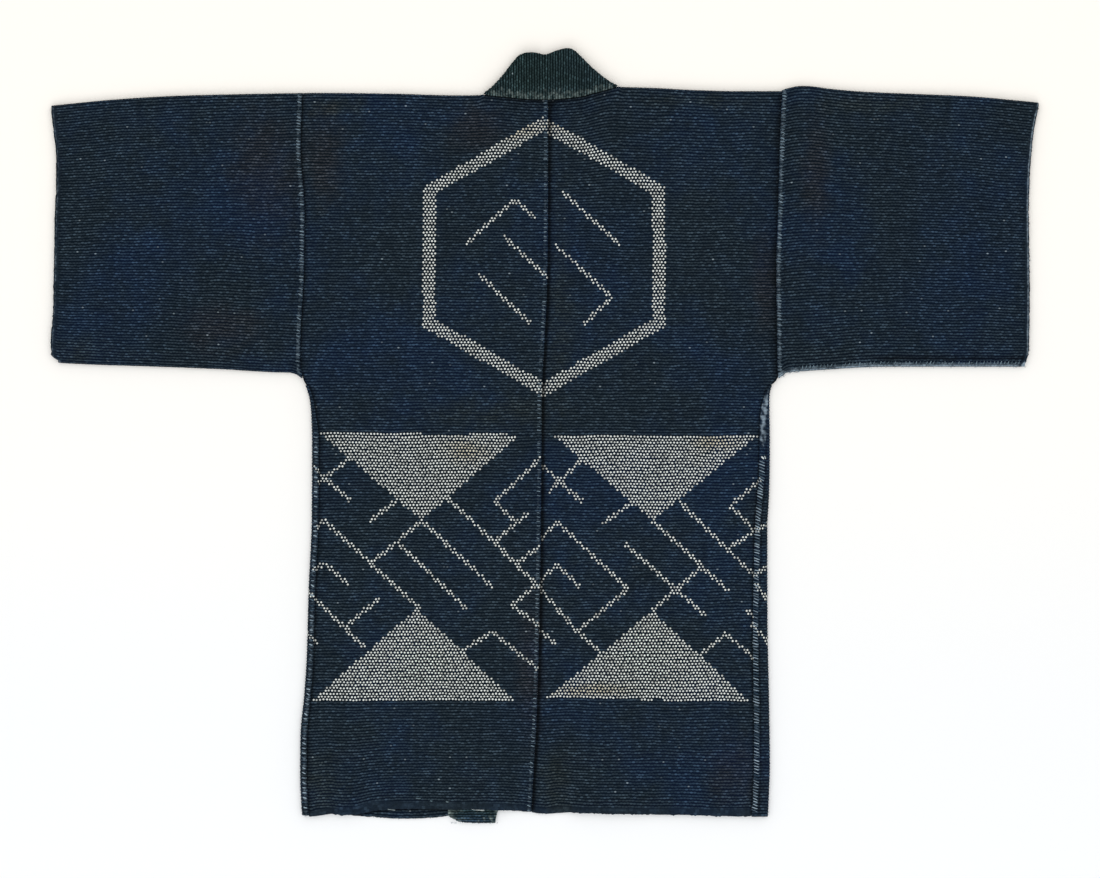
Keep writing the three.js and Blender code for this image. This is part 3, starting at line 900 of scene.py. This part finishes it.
    # The front's edge, round the side fold and over to the side seam. Its ridge is worn, and on the
    # right a stretch below the armpit is rubbed bare.
    level = front_level[ABOVE_ROWS:]
    sx, sy = fold_start(level), fy[-1, ABOVE_ROWS:]
    room = np.abs(sx - turn_end(level)) - JOIN
    rubbed = smooth(level, -18, -4) * smooth(-level, -64, -50) if out > 0 else 0 * level
    bare = 0.25 + 0.45 * rubbed if out > 0 else 0.42 * smooth(-level, -12, 8)
    for step in range(1, turned + 1):
        faces, wear, plain = hairpin(sx, sy, out, 0, 1 - step / (FOLD_STEPS + 1)), 0.15, 0
        if step > FOLD_STEPS:
            gone = room * (1 - (step - FOLD_STEPS - 1) / strip)
            tx = turn_end(level) + out * (JOIN / 2 + gone)
            faces = laid(tx, sy, under(tx, sy), welt(gone))
            ridge = bell(gone - SEAM_WIDTH / 2 - rubbed, 3.2 + 1.8 * rubbed, 3)
            # Painted shade: a dark line in the groove beside the seam's ridge
            painted_groove_shade = bell(gone - SEAM_WIDTH - 1.6, 1.3) * (1 - rubbed)
            wear = bare * ridge - 0.7 * painted_groove_shade + 0.25 * rubbed * ripple(tx, sy, 7, seed)
            plain = 0.6 * rubbed * ridge
        at = side_column + step, slice(side_row, last_row + 1)
        wall.lay(at, faces, (side_column + step) / 2, front_v[ABOVE_ROWS:], wear, plain)

    # The stitches, which flatten at the edges, and the thinned lips of the two hems
    height = stitched(wall.coords, seed)
    strength = np.ones(wall.same.shape)
    strength[back] = smooth(np.minimum(distance, to_side), -0.4, 1.6) * (1 - 0.8 * wall.plain[back])
    strength[back][:, 0] = 0.2
    strength[:, fold_row:] = 0
    strength[side_column + 1 :, side_row:] = 1
    strength[-1] = 0.2
    raise_along(wall.outer, wall.inner, height * strength)
    wall.outer[: side_column + 1, :2, 2] -= (LIP, 0.15)
    wall.inner[: side_column + 1, 0, 2] += 0.5
    hem_row = last_row - HEM_ROWS
    if out < 0:
        shows = np.zeros(wall.same.shape)
        shows[neck : side_column + 1, hem_row:] = 1
        raise_along(wall.inner, wall.outer, height * shows)
        wall.inner[: side_column + 1, -1, 2] -= LIP

    wall.fine[0, :side_column, :BACK_ROWS] = True
    wall.fine[0, neck:side_column, BACK_ROWS:fold_row] = True
    wall.fine[0, side_column:, side_row:] = True
    main_i = stops(0, side_column, COARSE, [neck])
    front_i = [i for i in main_i if i >= neck]
    strip_i = stops(side_column, last_column, 2)
    above_j = stops(fold_row, side_row, 2)
    below_j = stops(side_row, hem_row, COARSE)
    low_j = [hem_row, last_row]
    over = tiles(front_i, above_j) + tiles(front_i, below_j)
    inside = tiles(main_i, stops(0, BACK_ROWS, COARSE)) + tiles(front_i, stops(BACK_ROWS, fold_row, 3))
    inside += over + tiles(strip_i, below_j) + tiles(strip_i, low_j)
    if out < 0:
        wall.fine[1, neck:side_column, hem_row:] = True
    else:
        inside += tiles(front_i, low_j)
    blocks = [over + tiles(front_i, low_j), inside]
    rim = ring(
        (0, 0), (side_column, 0), (side_column, side_row), (last_column, side_row),
        (last_column, last_row), (neck, last_row), (neck, BACK_ROWS), (0, BACK_ROWS),
    )
    return sheet(name, wall, blocks, [rim], fold_row, dyed_white)


indigo = quilted_finish(
    "quilted_indigo", "#07121c", "#071329", "#2c3841", "#26384b", "#eef4f1", "#9bafbf", 0.3
)
body_left = body("body_left_cloth", LEFT, 11)
body_right = body("body_right_cloth", RIGHT, 23)
for piece, node in ((body_left, "body_left"), (body_right, "body_right")):
    piece.data.materials.append(indigo)
    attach(piece, "root")
    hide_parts(node)

# The two sleeves, each one length of the same cloth, folded at the top, sewn along the bottom and sewn
# flat to the body along the armhole. The cuff is open, and its two layers lie on each other.
SLEEVE_COLUMNS = 152
SLEEVE_ROWS = 184
BENEATH_ROWS = 16
CUFF_HEM = 5.5  # the rolled hem, which has no stitch rows
CUFF_RAGGED = 0.35
LEFT |= {  # cuff_ends are the levels between which the cuff runs
    "cuff": curve([95, 99, 110, 173, 283, 347, 429], [-632, -640.5, -641.3, -638, -636, -634, -641]),
    "cuff_ends": (95, 429),
    "sleeve_top": curve([-641, -558, -486, -414, -317], [429, 437, 441.4, 443.5, 445.3]),
    "sleeve_foot": curve([-641, -630, -502, -425, -338, -314], [98, 95, 90, 87, 82.5, 82.4]),
}
RIGHT |= {
    "cuff": curve([90, 107, 196, 298, 334, 394, 433], [623, 628, 629, 628, 629, 634, 641.3]),
    "cuff_ends": (90, 433),
    "sleeve_top": curve(
        [307, 313, 332, 340, 373, 416, 552, 641], [448.6, 451, 454.4, 454.4, 450.5, 447, 441, 433]
    ),
    "sleeve_foot": curve([301, 320, 332, 361, 443, 525, 621], [83.4, 83.6, 84, 86, 90, 90, 90]),
}


def sleeve_foot(side, x):
    """The sleeve's bottom edge, which dips into the armpit."""
    return side["sleeve_foot"](x) - 7.4 * bell(x - side["armhole"](ARMPIT), 8)


def sleeve(name, side, seed):
    out = side["out"]
    top_row = SLEEVE_ROWS
    back_row = top_row + FOLD_STEPS + 1  # where the lower layer starts
    foot_row = back_row + BENEATH_ROWS
    last_row = foot_row + FOLD_STEPS + 1  # the same points as row 0
    wall = Wall(SLEEVE_COLUMNS + 1, last_row + 1)
    wall.same[:, -1] = wall.same[:, 0]
    column = np.arange(SLEEVE_COLUMNS + 1)[:, None]
    v = np.interp(
        np.arange(last_row + 1),
        [0, top_row, back_row, foot_row, last_row],
        np.cumsum([0, top_row / 2, FOLD_STITCHES, top_row / 2, FOLD_STITCHES]),
    )

    def spread(share):
        level = lerp(ARMPIT + ROUND, SHOULDER_START, share)
        arm = side["armhole"](level) + out * JOIN
        cuff = side["cuff"](lerp(*side["cuff_ends"], share))
        x = lerp(arm, cuff, column / SLEEVE_COLUMNS)
        radius = bend(x, level)
        foot, straight = sleeve_foot(side, x) + radius, side["sleeve_foot"](x) + radius
        y = lerp(straight, side["sleeve_top"](x) - radius, share)
        y = y + (foot - straight) * (1 - smooth(share, 0, 0.07))
        return x, y, foot, np.abs(x - arm), np.abs(x - cuff)

    # The top layer, worn along the armhole, the cuff and, on the right, the bottom seam, and with
    #     painted shade beside those seams and at the cuff's hem
    x, y, foot, from_arm, from_cuff = spread(np.arange(top_row + 1) / top_row)
    y = y + wander(x, y, y[:, :1], y[:, -1:], seed)
    frayed = np.random.default_rng(seed + 7).normal(0, CUFF_RAGGED, (2, top_row + 1))
    x[-2:] += frayed * ((0.4,), (1,))
    hemmed = 1 - smooth(from_cuff + 1.2 * ripple(x, y, 30, seed + 3), CUFF_HEM - 1.5, CUFF_HEM + 1)
    relief = np.maximum(welt(from_arm), welt(y - foot) / 2 if out > 0 else 0)
    relief += 0.45 * bell(from_cuff - 2.4, 2) - 0.2 * bell(from_cuff - CUFF_HEM, 1.6)
    # Painted shade: a darker band 12 mm from the armhole seam, beyond its ridge
    wear = 0.52 * bell(from_arm - SEAM_WIDTH / 2, 3, 3) - 0.3 * bell(from_arm - 12, 5)
    # Painted shade in the groove where the rolled cuff hem meets the rows
    wear -= 0.4 * bell(from_cuff - CUFF_HEM, 1.8)
    if out > 0:
        wear += 0.72 * bell(from_cuff - 2, 2) + 0.7 * bell(y - foot, 2.5)
        # Painted shade beside the right sleeve's bottom seam ridge, towards the cuff
        wear -= 0.6 * bell(y - foot - 8, 4) * smooth(x, 410, 440)
    else:
        wear += 0.5 * bell(from_cuff - 2.6, 2)
    plain = 0.8 * hemmed
    top = slice(0, SLEEVE_COLUMNS + 1), slice(0, top_row + 1)
    faces = laid(x, y, under(x, y) + creased(x, y), relief)
    wall.lay(top, faces, column / 2, v[top[1]], wear, plain)

    # The fold at the top, the layer beneath and the seam along the bottom
    for step in range(1, FOLD_STEPS + 1):
        share = step / (FOLD_STEPS + 1)
        for first, end, way, turned in ((top_row, -1, 1, share), (foot_row, 0, -1, 1 - share)):
            at = slice(0, SLEEVE_COLUMNS + 1), first + step
            faces = hairpin(x[:, end], y[:, end], 0, way, turned)
            wall.lay(at, faces, column[:, 0] / 2, v[first + step], wear[:, end], plain[:, end])
            wall.lift(at, creased(x[:, end], y[:, end]) * (1 - turned))
    beneath_rows = slice(0, SLEEVE_COLUMNS + 1), slice(back_row, foot_row + 1)
    bx, by = spread(np.linspace(1, 0, BENEATH_ROWS + 1))[:2]
    wall.lay(beneath_rows, face_down(bx, by), column / 2, v[beneath_rows[1]])
    first_points = wall.outer[:, 0], wall.inner[:, 0]
    wall.lay((top[0], last_row), first_points, column[:, 0] / 2, v[last_row])

    edge = smooth(from_arm, -0.4, 1.6) * (1 - hemmed)
    strength = np.zeros(wall.same.shape)
    strength[top] = edge
    strength[:, top_row + 1 : back_row] = edge[:, -1:]
    strength[:, foot_row + 1 :] = edge[:, :1]
    raise_along(wall.outer, wall.inner, stitched(wall.coords, seed) * strength)
    wall.outer[-1, : top_row + 1, 2] -= LIP
    wall.inner[-1, : top_row + 1, 2] += 0.4

    wall.fine[0, :, :back_row] = True
    wall.fine[0, :, foot_row:] = True
    long_i = stops(0, SLEEVE_COLUMNS, COARSE)
    beneath_j = stops(back_row, foot_row, 2)
    inner_j = [*stops(0, top_row, COARSE), *stops(top_row, back_row, 3)[1:]]
    inner_j += [*beneath_j[1:], *stops(foot_row, last_row, 3)[1:]]
    blocks = [tiles(long_i, beneath_j), tiles(long_i, inner_j)]
    rows = range(last_row + 1)
    rims = [[(0, row) for row in reversed(rows)], [(SLEEVE_COLUMNS, row) for row in rows]]
    return sheet(name, wall, blocks, rims, back_row)


sleeve_left = sleeve("sleeve_left_cloth", LEFT, 37)
sleeve_right = sleeve("sleeve_right_cloth", RIGHT, 53)
for piece, node in ((sleeve_left, "sleeve_left"), (sleeve_right, "sleeve_right")):
    piece.data.materials.append(indigo)
    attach(piece, "root")
    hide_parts(node)

# The collar, one band of darker cotton folded double, with close ribs across its width. Its neck
# stretch stands up past the shoulders, and at each end it folds down on a slant and runs beneath the
# back, along the front's edge, to the hem, where the left end peeps out.
# The free edge's height over x, and where a few ribs start on the seam and end at that edge
COLLAR_EDGE = curve(
    [-30, -25, -18, -8, -3, 0.5, 4, 13, 24, 30, 33],
    [495.4, 497.3, 497.8, 496.6, 495.3, 494.9, 496, 499.6, 502.6, 503.1, 502.7],
)
RIB_FEET = [-74, -60, -46, -30, -13, -4, 4, 16, 29, 45, 62, 76, 89]
RIB_HEADS = [-30, -25, -20, -14, -8, -3, -1, 8, 13, 18, 23, 28, 33]
RIB = 3.4  # from one rib to the next
RIB_RISE = 0.38
NECK_STATIONS = 144  # stations of the mesh along the neck
ACROSS = 52  # its columns across the band
FRONT_COARSE = 24  # its stations along the front, where nothing shows
END_STATIONS = 28  # and at the hem, where the end peeps out
END_STEP = 1.25
END_TAPER = 4.5  # how much narrower the band is at its very end
LEFT |= {  # collar_end is the cut end, over the share of the band's width, and sag that of the fold
    "collar_hem": -502.7,
    "collar_end": curve([0, 0.125, 0.25, 0.45, 1], [-493, -498, -501.6, -502.6, -502.7]),
    "collar_sag": 2.4,
}
RIGHT |= {"collar_hem": -483, "collar_end": curve([0, 1], [-483, -483]), "collar_sag": 3.4}


def collar(name, seed):
    share = np.arange(ACROSS + 1) / ACROSS

    # The neck stretch, from the seam, at a share of 0, to the free edge, at 1
    foot_x = np.linspace(RIB_FEET[0], RIB_FEET[-1], NECK_STATIONS + 1)[:, None]
    head_x = curve(RIB_FEET, RIB_HEADS)(foot_x)
    x = lerp(foot_x, head_x, share)
    y = lerp(NECK_SEAM(foot_x) + JOIN / 2, COLLAR_EDGE(head_x), share)
    z = under(x, y)
    worn_reach = 14 + 5 * ripple(x, y, 23, seed)
    wear = 0.5 * bell(share * BAND_WIDTH, worn_reach, 3) + 0.12 * ripple(x, y, 9, seed + 1)
    parts = [(points(x, y, z + BAND), points(x, y, z), x / RIB, wear)]

    # From each end of it the slanting fold, then the stretch beneath that goes to the hem
    for side, end in ((LEFT, 0), (RIGHT, -1)):
        out = side["out"]
        foot, head = np.array([x[end, 0], y[end, 0]]), np.array([x[end, -1], y[end, -1]])
        push = np.array([out * (head[1] - foot[1]), abs(head[0] - foot[0])]) / np.hypot(*(head - foot))
        sag = side["collar_sag"] * np.sin(math.pi * share)
        fold_x, fold_y = (lerp(foot[n], head[n], share) - sag * push[n] for n in (0, 1))
        flare = out * 2.2 * (1 - smooth(share, 0, 0.16))
        pressed = lerp(1, 0.7, smooth(share, 0.7, 0.95))
        way = push[0] * pressed, push[1] * pressed * (1 - smooth(share, 0.9, 1))
        head_rib = (head[0] + out * (head[1] - fold_y)) / RIB
        tip = side["collar_end"](share)
        stations = []
        for step in range(1, FOLD_STEPS + 1):
            turned = step / (FOLD_STEPS + 1)
            faces = hairpin(fold_x + flare * np.sin(math.pi * turned), fold_y, *way, turned, BAND)
            rib = lerp(fold_x / RIB, head_rib, turned) + out * turned * FOLD_STITCHES
            stations.append((*faces, rib, 0.1 + 0 * share))
        end_share = 1 - END_STATIONS * END_STEP / (foot[1] - side["collar_hem"])
        fine_shares = np.linspace(end_share, 1, END_STATIONS + 1)
        for along in (*np.linspace(0, end_share, FRONT_COARSE + 1)[:-1], *fine_shares):
            fy = lerp(fold_y, tip, along)
            sewn = side["collar_seam"](fy) - out * JOIN / 2
            width = BAND_WIDTH - END_TAPER * smooth(along, 0.975, 1)
            fx = lerp(fold_x, sewn - out * width * share, smooth(along, 0, 0.1))
            rib = (head[0] + out * (head[1] - fy)) / RIB + out * FOLD_STITCHES
            wear = 0.7 * fading(share, 0.22) + 0.5 * fading(1 - share, 0.16)
            wear += 0.2 * ripple(fx, fy, 8, seed) + 0.35 * fading(fy - tip, 3)
            stations.append((*face_down(fx, fy, BAND), rib, wear))
        part = [np.array(rows)[::out] for rows in zip(*stations)]
        parts.insert(0 if out < 0 else len(parts), part)
    outer, inner, ribs, wear = (np.concatenate(rows) for rows in zip(*parts))

    last = len(outer) - 1
    wall = Wall(last + 1, ACROSS + 1)
    wall.lay(..., (outer, inner), share * BAND_WIDTH / STITCH, ribs + 100, wear)
    neck_first = FOLD_STEPS + FRONT_COARSE + END_STATIONS + 1
    neck_last = neck_first + NECK_STATIONS
    shows_first, shows_last = neck_first - FOLD_STEPS, neck_last + FOLD_STEPS
    height = stitched(wall.coords, seed) * RIB_RISE / ROW_RISE
    above, below = np.zeros((2, *wall.same.shape))
    above[shows_first : shows_last + 1] = smooth(np.minimum(share, 1 - share) * BAND_WIDTH, -0.4, 2)
    below[1 : END_STATIONS + 1] = 1
    raise_along(wall.outer, wall.inner, height * above)
    raise_along(wall.inner, wall.outer, height * below)
    wall.outer[shows_first : shows_last + 1, -2:, 2] -= (0.35, 1.3)
    wall.inner[neck_first : neck_last + 1, -1, 2] += 0.9
    wall.inner[0, :, 2] -= 1.2
    ragged = np.random.default_rng(seed + 7).normal(0, RAGGED, ACROSS + 1)
    wall.outer[0, :, 1] += ragged
    wall.inner[0, :, 1] += ragged

    wall.fine[0, shows_first:shows_last] = True
    wall.fine[1, :END_STATIONS] = True
    across_j = stops(0, ACROSS, 13)
    left_i, right_i = stops(0, shows_first, 4, [END_STATIONS]), stops(shows_last, last, 4)
    middle_i = [*stops(shows_first, neck_first, 2), *stops(neck_first, neck_last, COARSE)[1:]]
    middle_i += stops(neck_last, shows_last, 2)[1:]
    hidden_i = [i for i in left_i if i >= END_STATIONS]
    inner_blocks = [tile for part in (hidden_i, middle_i, right_i) for tile in tiles(part, across_j)]
    blocks = [tiles(left_i, across_j) + tiles(right_i, across_j), inner_blocks]
    rim = ring((0, 0), (last, 0), (last, ACROSS), (0, ACROSS))
    return sheet(name, wall, blocks, [rim], ACROSS)


collar_cloth = collar("collar_cloth", 71)
green_indigo = quilted_finish(
    "ribbed_indigo", "#091415", "#0a161b", "#2d3f41", "#2b3b42", "#c9ccc4", "#8d9d9b", 1.7
)
collar_cloth.data.materials.append(green_indigo)
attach(collar_cloth, "root")
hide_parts("collar")

# The overcast seams: short slanting stitches of paler thread over each raised seam allowance. Each is
# an arched length of thread that is seated on the cloth, and a seam's stitches are one joined piece.
THREAD_STEPS = 4
THREAD_SIDES = 5
HIDDEN_END = 0.9  # how deep a stitch's ends go into the cloth
LEFT_SIDE_INSET = 3.8  # from the left side seam to the middle of its stitches
FOOT_INSET = 2.5  # the same, from the right sleeve's bottom edge


def surface_of(pieces):
    """A tree that finds the height of the cloth below a point."""
    corners, faces = [], []
    for piece in pieces:
        first = len(corners)
        corners += [v.co.copy() for v in piece.data.vertices]
        faces += [[first + n for n in face.vertices] for face in piece.data.polygons]
    return BVHTree.FromPolygons(corners, faces)


cloth_surface = surface_of([body_left, body_right, sleeve_left, sleeve_right, collar_cloth])


def cloth_height(x, y):
    hit = cloth_surface.ray_cast(Vector((x * MM, y * MM, 0.05)), Vector((0, 0, -1)))[0]
    return hit.z / MM if hit else 0.0


def tubes(name, routes, radii, sides, tones):
    """Closed tubes joined in one mesh, each along its own route of points, in millimetres."""
    corners, faces, face_tones = [], [], []
    turns = math.tau * np.arange(sides) / sides
    for route, radius, tone in zip(routes, radii, tones):
        route = np.asarray(route, float)
        ahead = np.gradient(route, axis=0)
        ahead /= np.linalg.norm(ahead, axis=1, keepdims=True)
        aside = np.cross(ahead, (0, 0, 1.0))
        aside /= np.maximum(np.linalg.norm(aside, axis=1, keepdims=True), 1e-6)
        upward = np.cross(aside, ahead)
        first = len(corners)
        around = np.cos(turns)[:, None, None] * aside + np.sin(turns)[:, None, None] * upward
        spots = route + around * (np.asarray(radius) * np.ones(len(route)))[:, None]
        corners.extend(spots.transpose(1, 0, 2).reshape(-1, 3) * MM)
        for step in range(len(route) - 1):
            for k in range(sides):
                a, b = first + step * sides + k, first + step * sides + (k + 1) % sides
                faces.append([a, b, b + sides, a + sides])
        end = first + (len(route) - 1) * sides
        faces += [[first + k for k in range(sides)][::-1], [end + k for k in range(sides)]]
        face_tones += [tone] * ((len(route) - 1) * sides + 2)
    mesh = bpy.data.meshes.new(name)
    mesh.from_pydata([tuple(c) for c in corners], [], faces)
    mesh.attributes.new("tone", "FLOAT", "FACE").data.foreach_set("value", face_tones)
    mesh.shade_smooth()
    piece = bpy.data.objects.new(name, mesh)
    bpy.context.scene.collection.objects.link(piece)
    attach(piece, "root")
    return piece


def thread_finish(name, dark, pale):
    f = Finish(name)
    grain = f.noise(f.place(), 1100.0, 2, 0.6)
    # This noise is only the thread's uneven wear; it paints no shade.
    wear = f.noise(f.place(), 30.0, 3, 0.6)
    share = f.ramp(f.attribute("tone") * 0.6 + wear * 0.5, 0.25, 0.85)
    tint = f.shade(f.mix(share, colour(dark), colour(pale)), 0.75 + 0.5 * grain)
    return f.finish(tint, 0.85 + 0.1 * grain, grain * 0.0003, 0.6)


def overcast(name, seam, first, last, pitch, length, lean, thick, seed):
    """Stitches over the seam that runs through seam(t), for t from first to last in millimetres.
    thick is half the thread's thickness."""
    dice = np.random.default_rng(seed)
    routes, radii, tones = [], [], []
    for t in np.arange(first, last, pitch):
        t = t + dice.normal(0, 0.3)
        here, there = np.array(seam(t)), np.array(seam(t + 1))
        ahead = (there - here) / np.hypot(*(there - here))
        aside = np.array([-ahead[1], ahead[0]])
        half = length / 2 * dice.uniform(0.82, 1.12)
        tilt = lean + dice.normal(0, 0.35)
        route = []
        for s in np.linspace(-1, 1, THREAD_STEPS + 1):
            x, y = here + aside * half * s + ahead * tilt * s
            sunk = HIDDEN_END if abs(s) == 1 else 0
            route.append((x, y, max(cloth_height(x, y) + thick * 0.6 - sunk, thick + 0.1)))
        routes.append(route)
        radii.append(thick * dice.uniform(0.75, 1.15))
        tones.append(dice.uniform(0, 1))
    return tubes(name, routes, radii, THREAD_SIDES, tones)


seam_thread = thread_finish("seam_thread", "#2f4354", "#96aab9")
dull_thread = thread_finish("dull_thread", "#1d2d39", "#768b99")


def sleeve_seam(side):
    return lambda t: (side["armhole"](t) + side["out"] * SEAM_WIDTH / 2, t)


def centre_seam(t):
    return CENTRE(t) - SEAM_WIDTH / 2, t


def right_side_seam(t):
    return RIGHT["fold"](t) - RIGHT["turn"](t) + SEAM_WIDTH / 2, t


def left_side_seam(t):
    return LEFT["fold"](t) + LEFT["turn"](t) - LEFT_SIDE_INSET, t


def right_sleeve_foot(t):
    return t, RIGHT["sleeve_foot"](t) + ROUND + FOOT_INSET


# first and last are the seam's ends, pitch is from stitch to stitch and thick half the thread
for name, seam, first, last, pitch, length, lean, thick, finish in (
    ("overcast_left_sleeve", sleeve_seam(LEFT), 82, 441, 3.9, 5.0, 0.5, 0.7, dull_thread),
    ("overcast_right_sleeve", sleeve_seam(RIGHT), 82, 446, 3.9, 5.2, 0.6, 0.7, dull_thread),
    ("overcast_centre", centre_seam, HEM + 4, 434, 5.6, 4.4, 0.3, 0.55, dull_thread),
    ("overcast_right_side", right_side_seam, HEM + 4, -32, 3.8, 7.0, 1.15, 0.62, seam_thread),
    ("overcast_left_side", left_side_seam, HEM + 8, 8, 6.4, 3.8, 0.5, 0.8, seam_thread),
    ("overcast_right_foot", right_sleeve_foot, 330, 618, 4.6, 4.0, 0.8, 0.5, dull_thread),
):
    piece = overcast(name, seam, first, last, pitch, length, lean, thick, len(name))
    piece.data.materials.append(finish)

# Loose threads and fray, where the cloth's edges have worn: short bent lengths of cotton that start
# in an edge and stick out of it or lie on it, and a few coarse stitches left over from a mend.
FRAY = 0.2  # half the thickness of a loose thread
FRAY_STEPS = 5
CENTRE_FOOT = -18.5  # x of the centre seam at the hem
COLLAR_END = (-126, -61)  # and of the collar's end, where it peeps out
MENDS = [  # two ends, half the thickness and how pale
    (-95.5, -484.8, -78.5, -486.0, 0.6, 0.7),
    (-204, -484.3, -194.5, -486.2, 0.6, 0.3),
    (-167.7, -470.1, -161.2, -470.3, 0.6, 0.1),
    (-149, -473.4, -146.4, -474, 0.8, 0.0),
    (-128, -474.2, -125.4, -474.8, 0.9, 0.2),
    (281.2, -27, 283.6, -29.3, 1.0, 1.0),
    (284.8, -26, 286.4, -29.6, 0.7, 0.5),
]


def frayed(name, spots, reach, seed):
    """Threads from each spot, given as x, y and the way out of the edge as dx, dy."""
    dice = np.random.default_rng(seed)
    routes, radii, tones = [], [], []
    for x, y, dx, dy in spots:
        length = reach * dice.uniform(0.35, 1.3)
        turn = dice.normal(0, 0.75)
        dx, dy = dx * math.cos(turn) - dy * math.sin(turn), dx * math.sin(turn) + dy * math.cos(turn)
        curl = dice.normal(0, 0.45)
        base = max(cloth_height(x - dx * 0.6, y - dy * 0.6) - 1.0, 0.6)
        route, place = [], np.array([x - dx * 0.8, y - dy * 0.8])
        for s in np.linspace(0, 1, FRAY_STEPS + 1):
            route.append((*place, lerp(base, max(base * 0.35, 0.5), s)))
            way = math.atan2(dy, dx) + curl * 3 * s
            place = place + length / FRAY_STEPS * np.array([math.cos(way), math.sin(way)])
        routes.append(route)
        radii.append(np.linspace(1, 0.45, FRAY_STEPS + 1) * FRAY * dice.uniform(0.7, 1.3))
        tones.append(dice.uniform(0, 1))
    return tubes(name, routes, radii, 4, tones)


dice = np.random.default_rng(5)
hem_spots = []
for x in dice.uniform(-312, 288, 150):
    side = LEFT if x < CENTRE_FOOT else RIGHT
    edge = side["hem_back"](x)
    if x < COLLAR_END[0]:
        edge = min(edge, side["hem_front"](x))
    elif x < COLLAR_END[1]:
        edge = LEFT["collar_hem"]
    hem_spots.append((x, edge, 0, -1))
hem_spots += [(x, -486, 0.6, -0.8) for x in dice.uniform(-54, -44, 7)]
armpit_spots = [(x, sleeve_foot(RIGHT, x), 0, -1) for x in dice.uniform(303, 330, 44)]
cuff_spots = [(RIGHT["cuff"](y), y, 1, 0) for y in [*dice.uniform(110, 430, 36), *dice.uniform(297, 333, 16)]]
foot_spots = [(x, RIGHT["sleeve_foot"](x), 0, -1) for x in dice.uniform(320, 625, 46)]
mend_routes = []
for ax, ay, bx, by, thick, _ in MENDS:
    route = []
    for s, lift in ((0, -1), (0.15, 0.5), (0.5, 0.8), (0.85, 0.5), (1, -1)):
        mx, my = lerp(ax, bx, s), lerp(ay, by, s)
        route.append((mx, my, max(cloth_height(mx, my) + lift * thick, thick)))
    mend_routes.append(route)
thicks, tones = zip(*(mend[-2:] for mend in MENDS))
mends = tubes("mending_stitches", mend_routes, thicks, 6, tones)
mends.data.materials.append(thread_finish("mending_thread", "#4f636d", "#d3dcdd"))

loose_thread = thread_finish("loose_thread", "#24384a", "#90a8ba")
for name, spots, reach in (
    ("frayed_hem", hem_spots, 2.2),
    ("frayed_armpit", armpit_spots, 3.6),
    ("frayed_cuff", cuff_spots, 3.2),
    ("frayed_sleeve_foot", foot_spots, 2.6),
):
    piece = frayed(name, spots, reach, len(name))
    piece.data.materials.append(loose_thread)

# The floor is a white table top whose colour carries painted light: cooler and darker on the hem's
# side, warmer towards the collar. The light is a bright room with one broad window on the hem's side,
# so that the faint shadows fall towards the collar.
bpy.ops.mesh.primitive_plane_add(size=8, location=(0, 0, -0.0002))
floor = bpy.context.object
floor.name = "floor"
white_top = Finish("white_table")
# Painted light: the table is tinted cool and darker at the hem's end and warm at the collar's end
painted_light_toward_collar = white_top.ramp(white_top.parts(white_top.place())[1], -0.5, 0.5)
tint = white_top.mix(painted_light_toward_collar, (0.87, 0.895, 0.925, 1), (0.965, 0.945, 0.905, 1))
white_top.tree.links.new(tint.socket, white_top.shader.inputs["Base Color"])
white_top.shader.inputs["Roughness"].default_value = 0.8
floor.data.materials.append(white_top.material)
world = bpy.data.worlds.new("room")
bpy.context.scene.world = world
world.use_nodes = True
world.node_tree.nodes["Background"].inputs["Color"].default_value = (1.0, 0.985, 0.96, 1)
world.node_tree.nodes["Background"].inputs["Strength"].default_value = 1.02
window_data = bpy.data.lights.new("window", "AREA")
window_data.shape = "RECTANGLE"
window_data.size, window_data.size_y = 3.5, 1.5
window_data.energy = 28
window_data.color = (0.94, 0.97, 1.0)
window = bpy.data.objects.new("window", window_data)
window.location = (-0.3, -3.2, 2.2)
window.rotation_euler = (math.radians(58), 0, 0)
bpy.context.scene.collection.objects.link(window)
bpy.context.scene.view_settings.view_transform = "Standard"
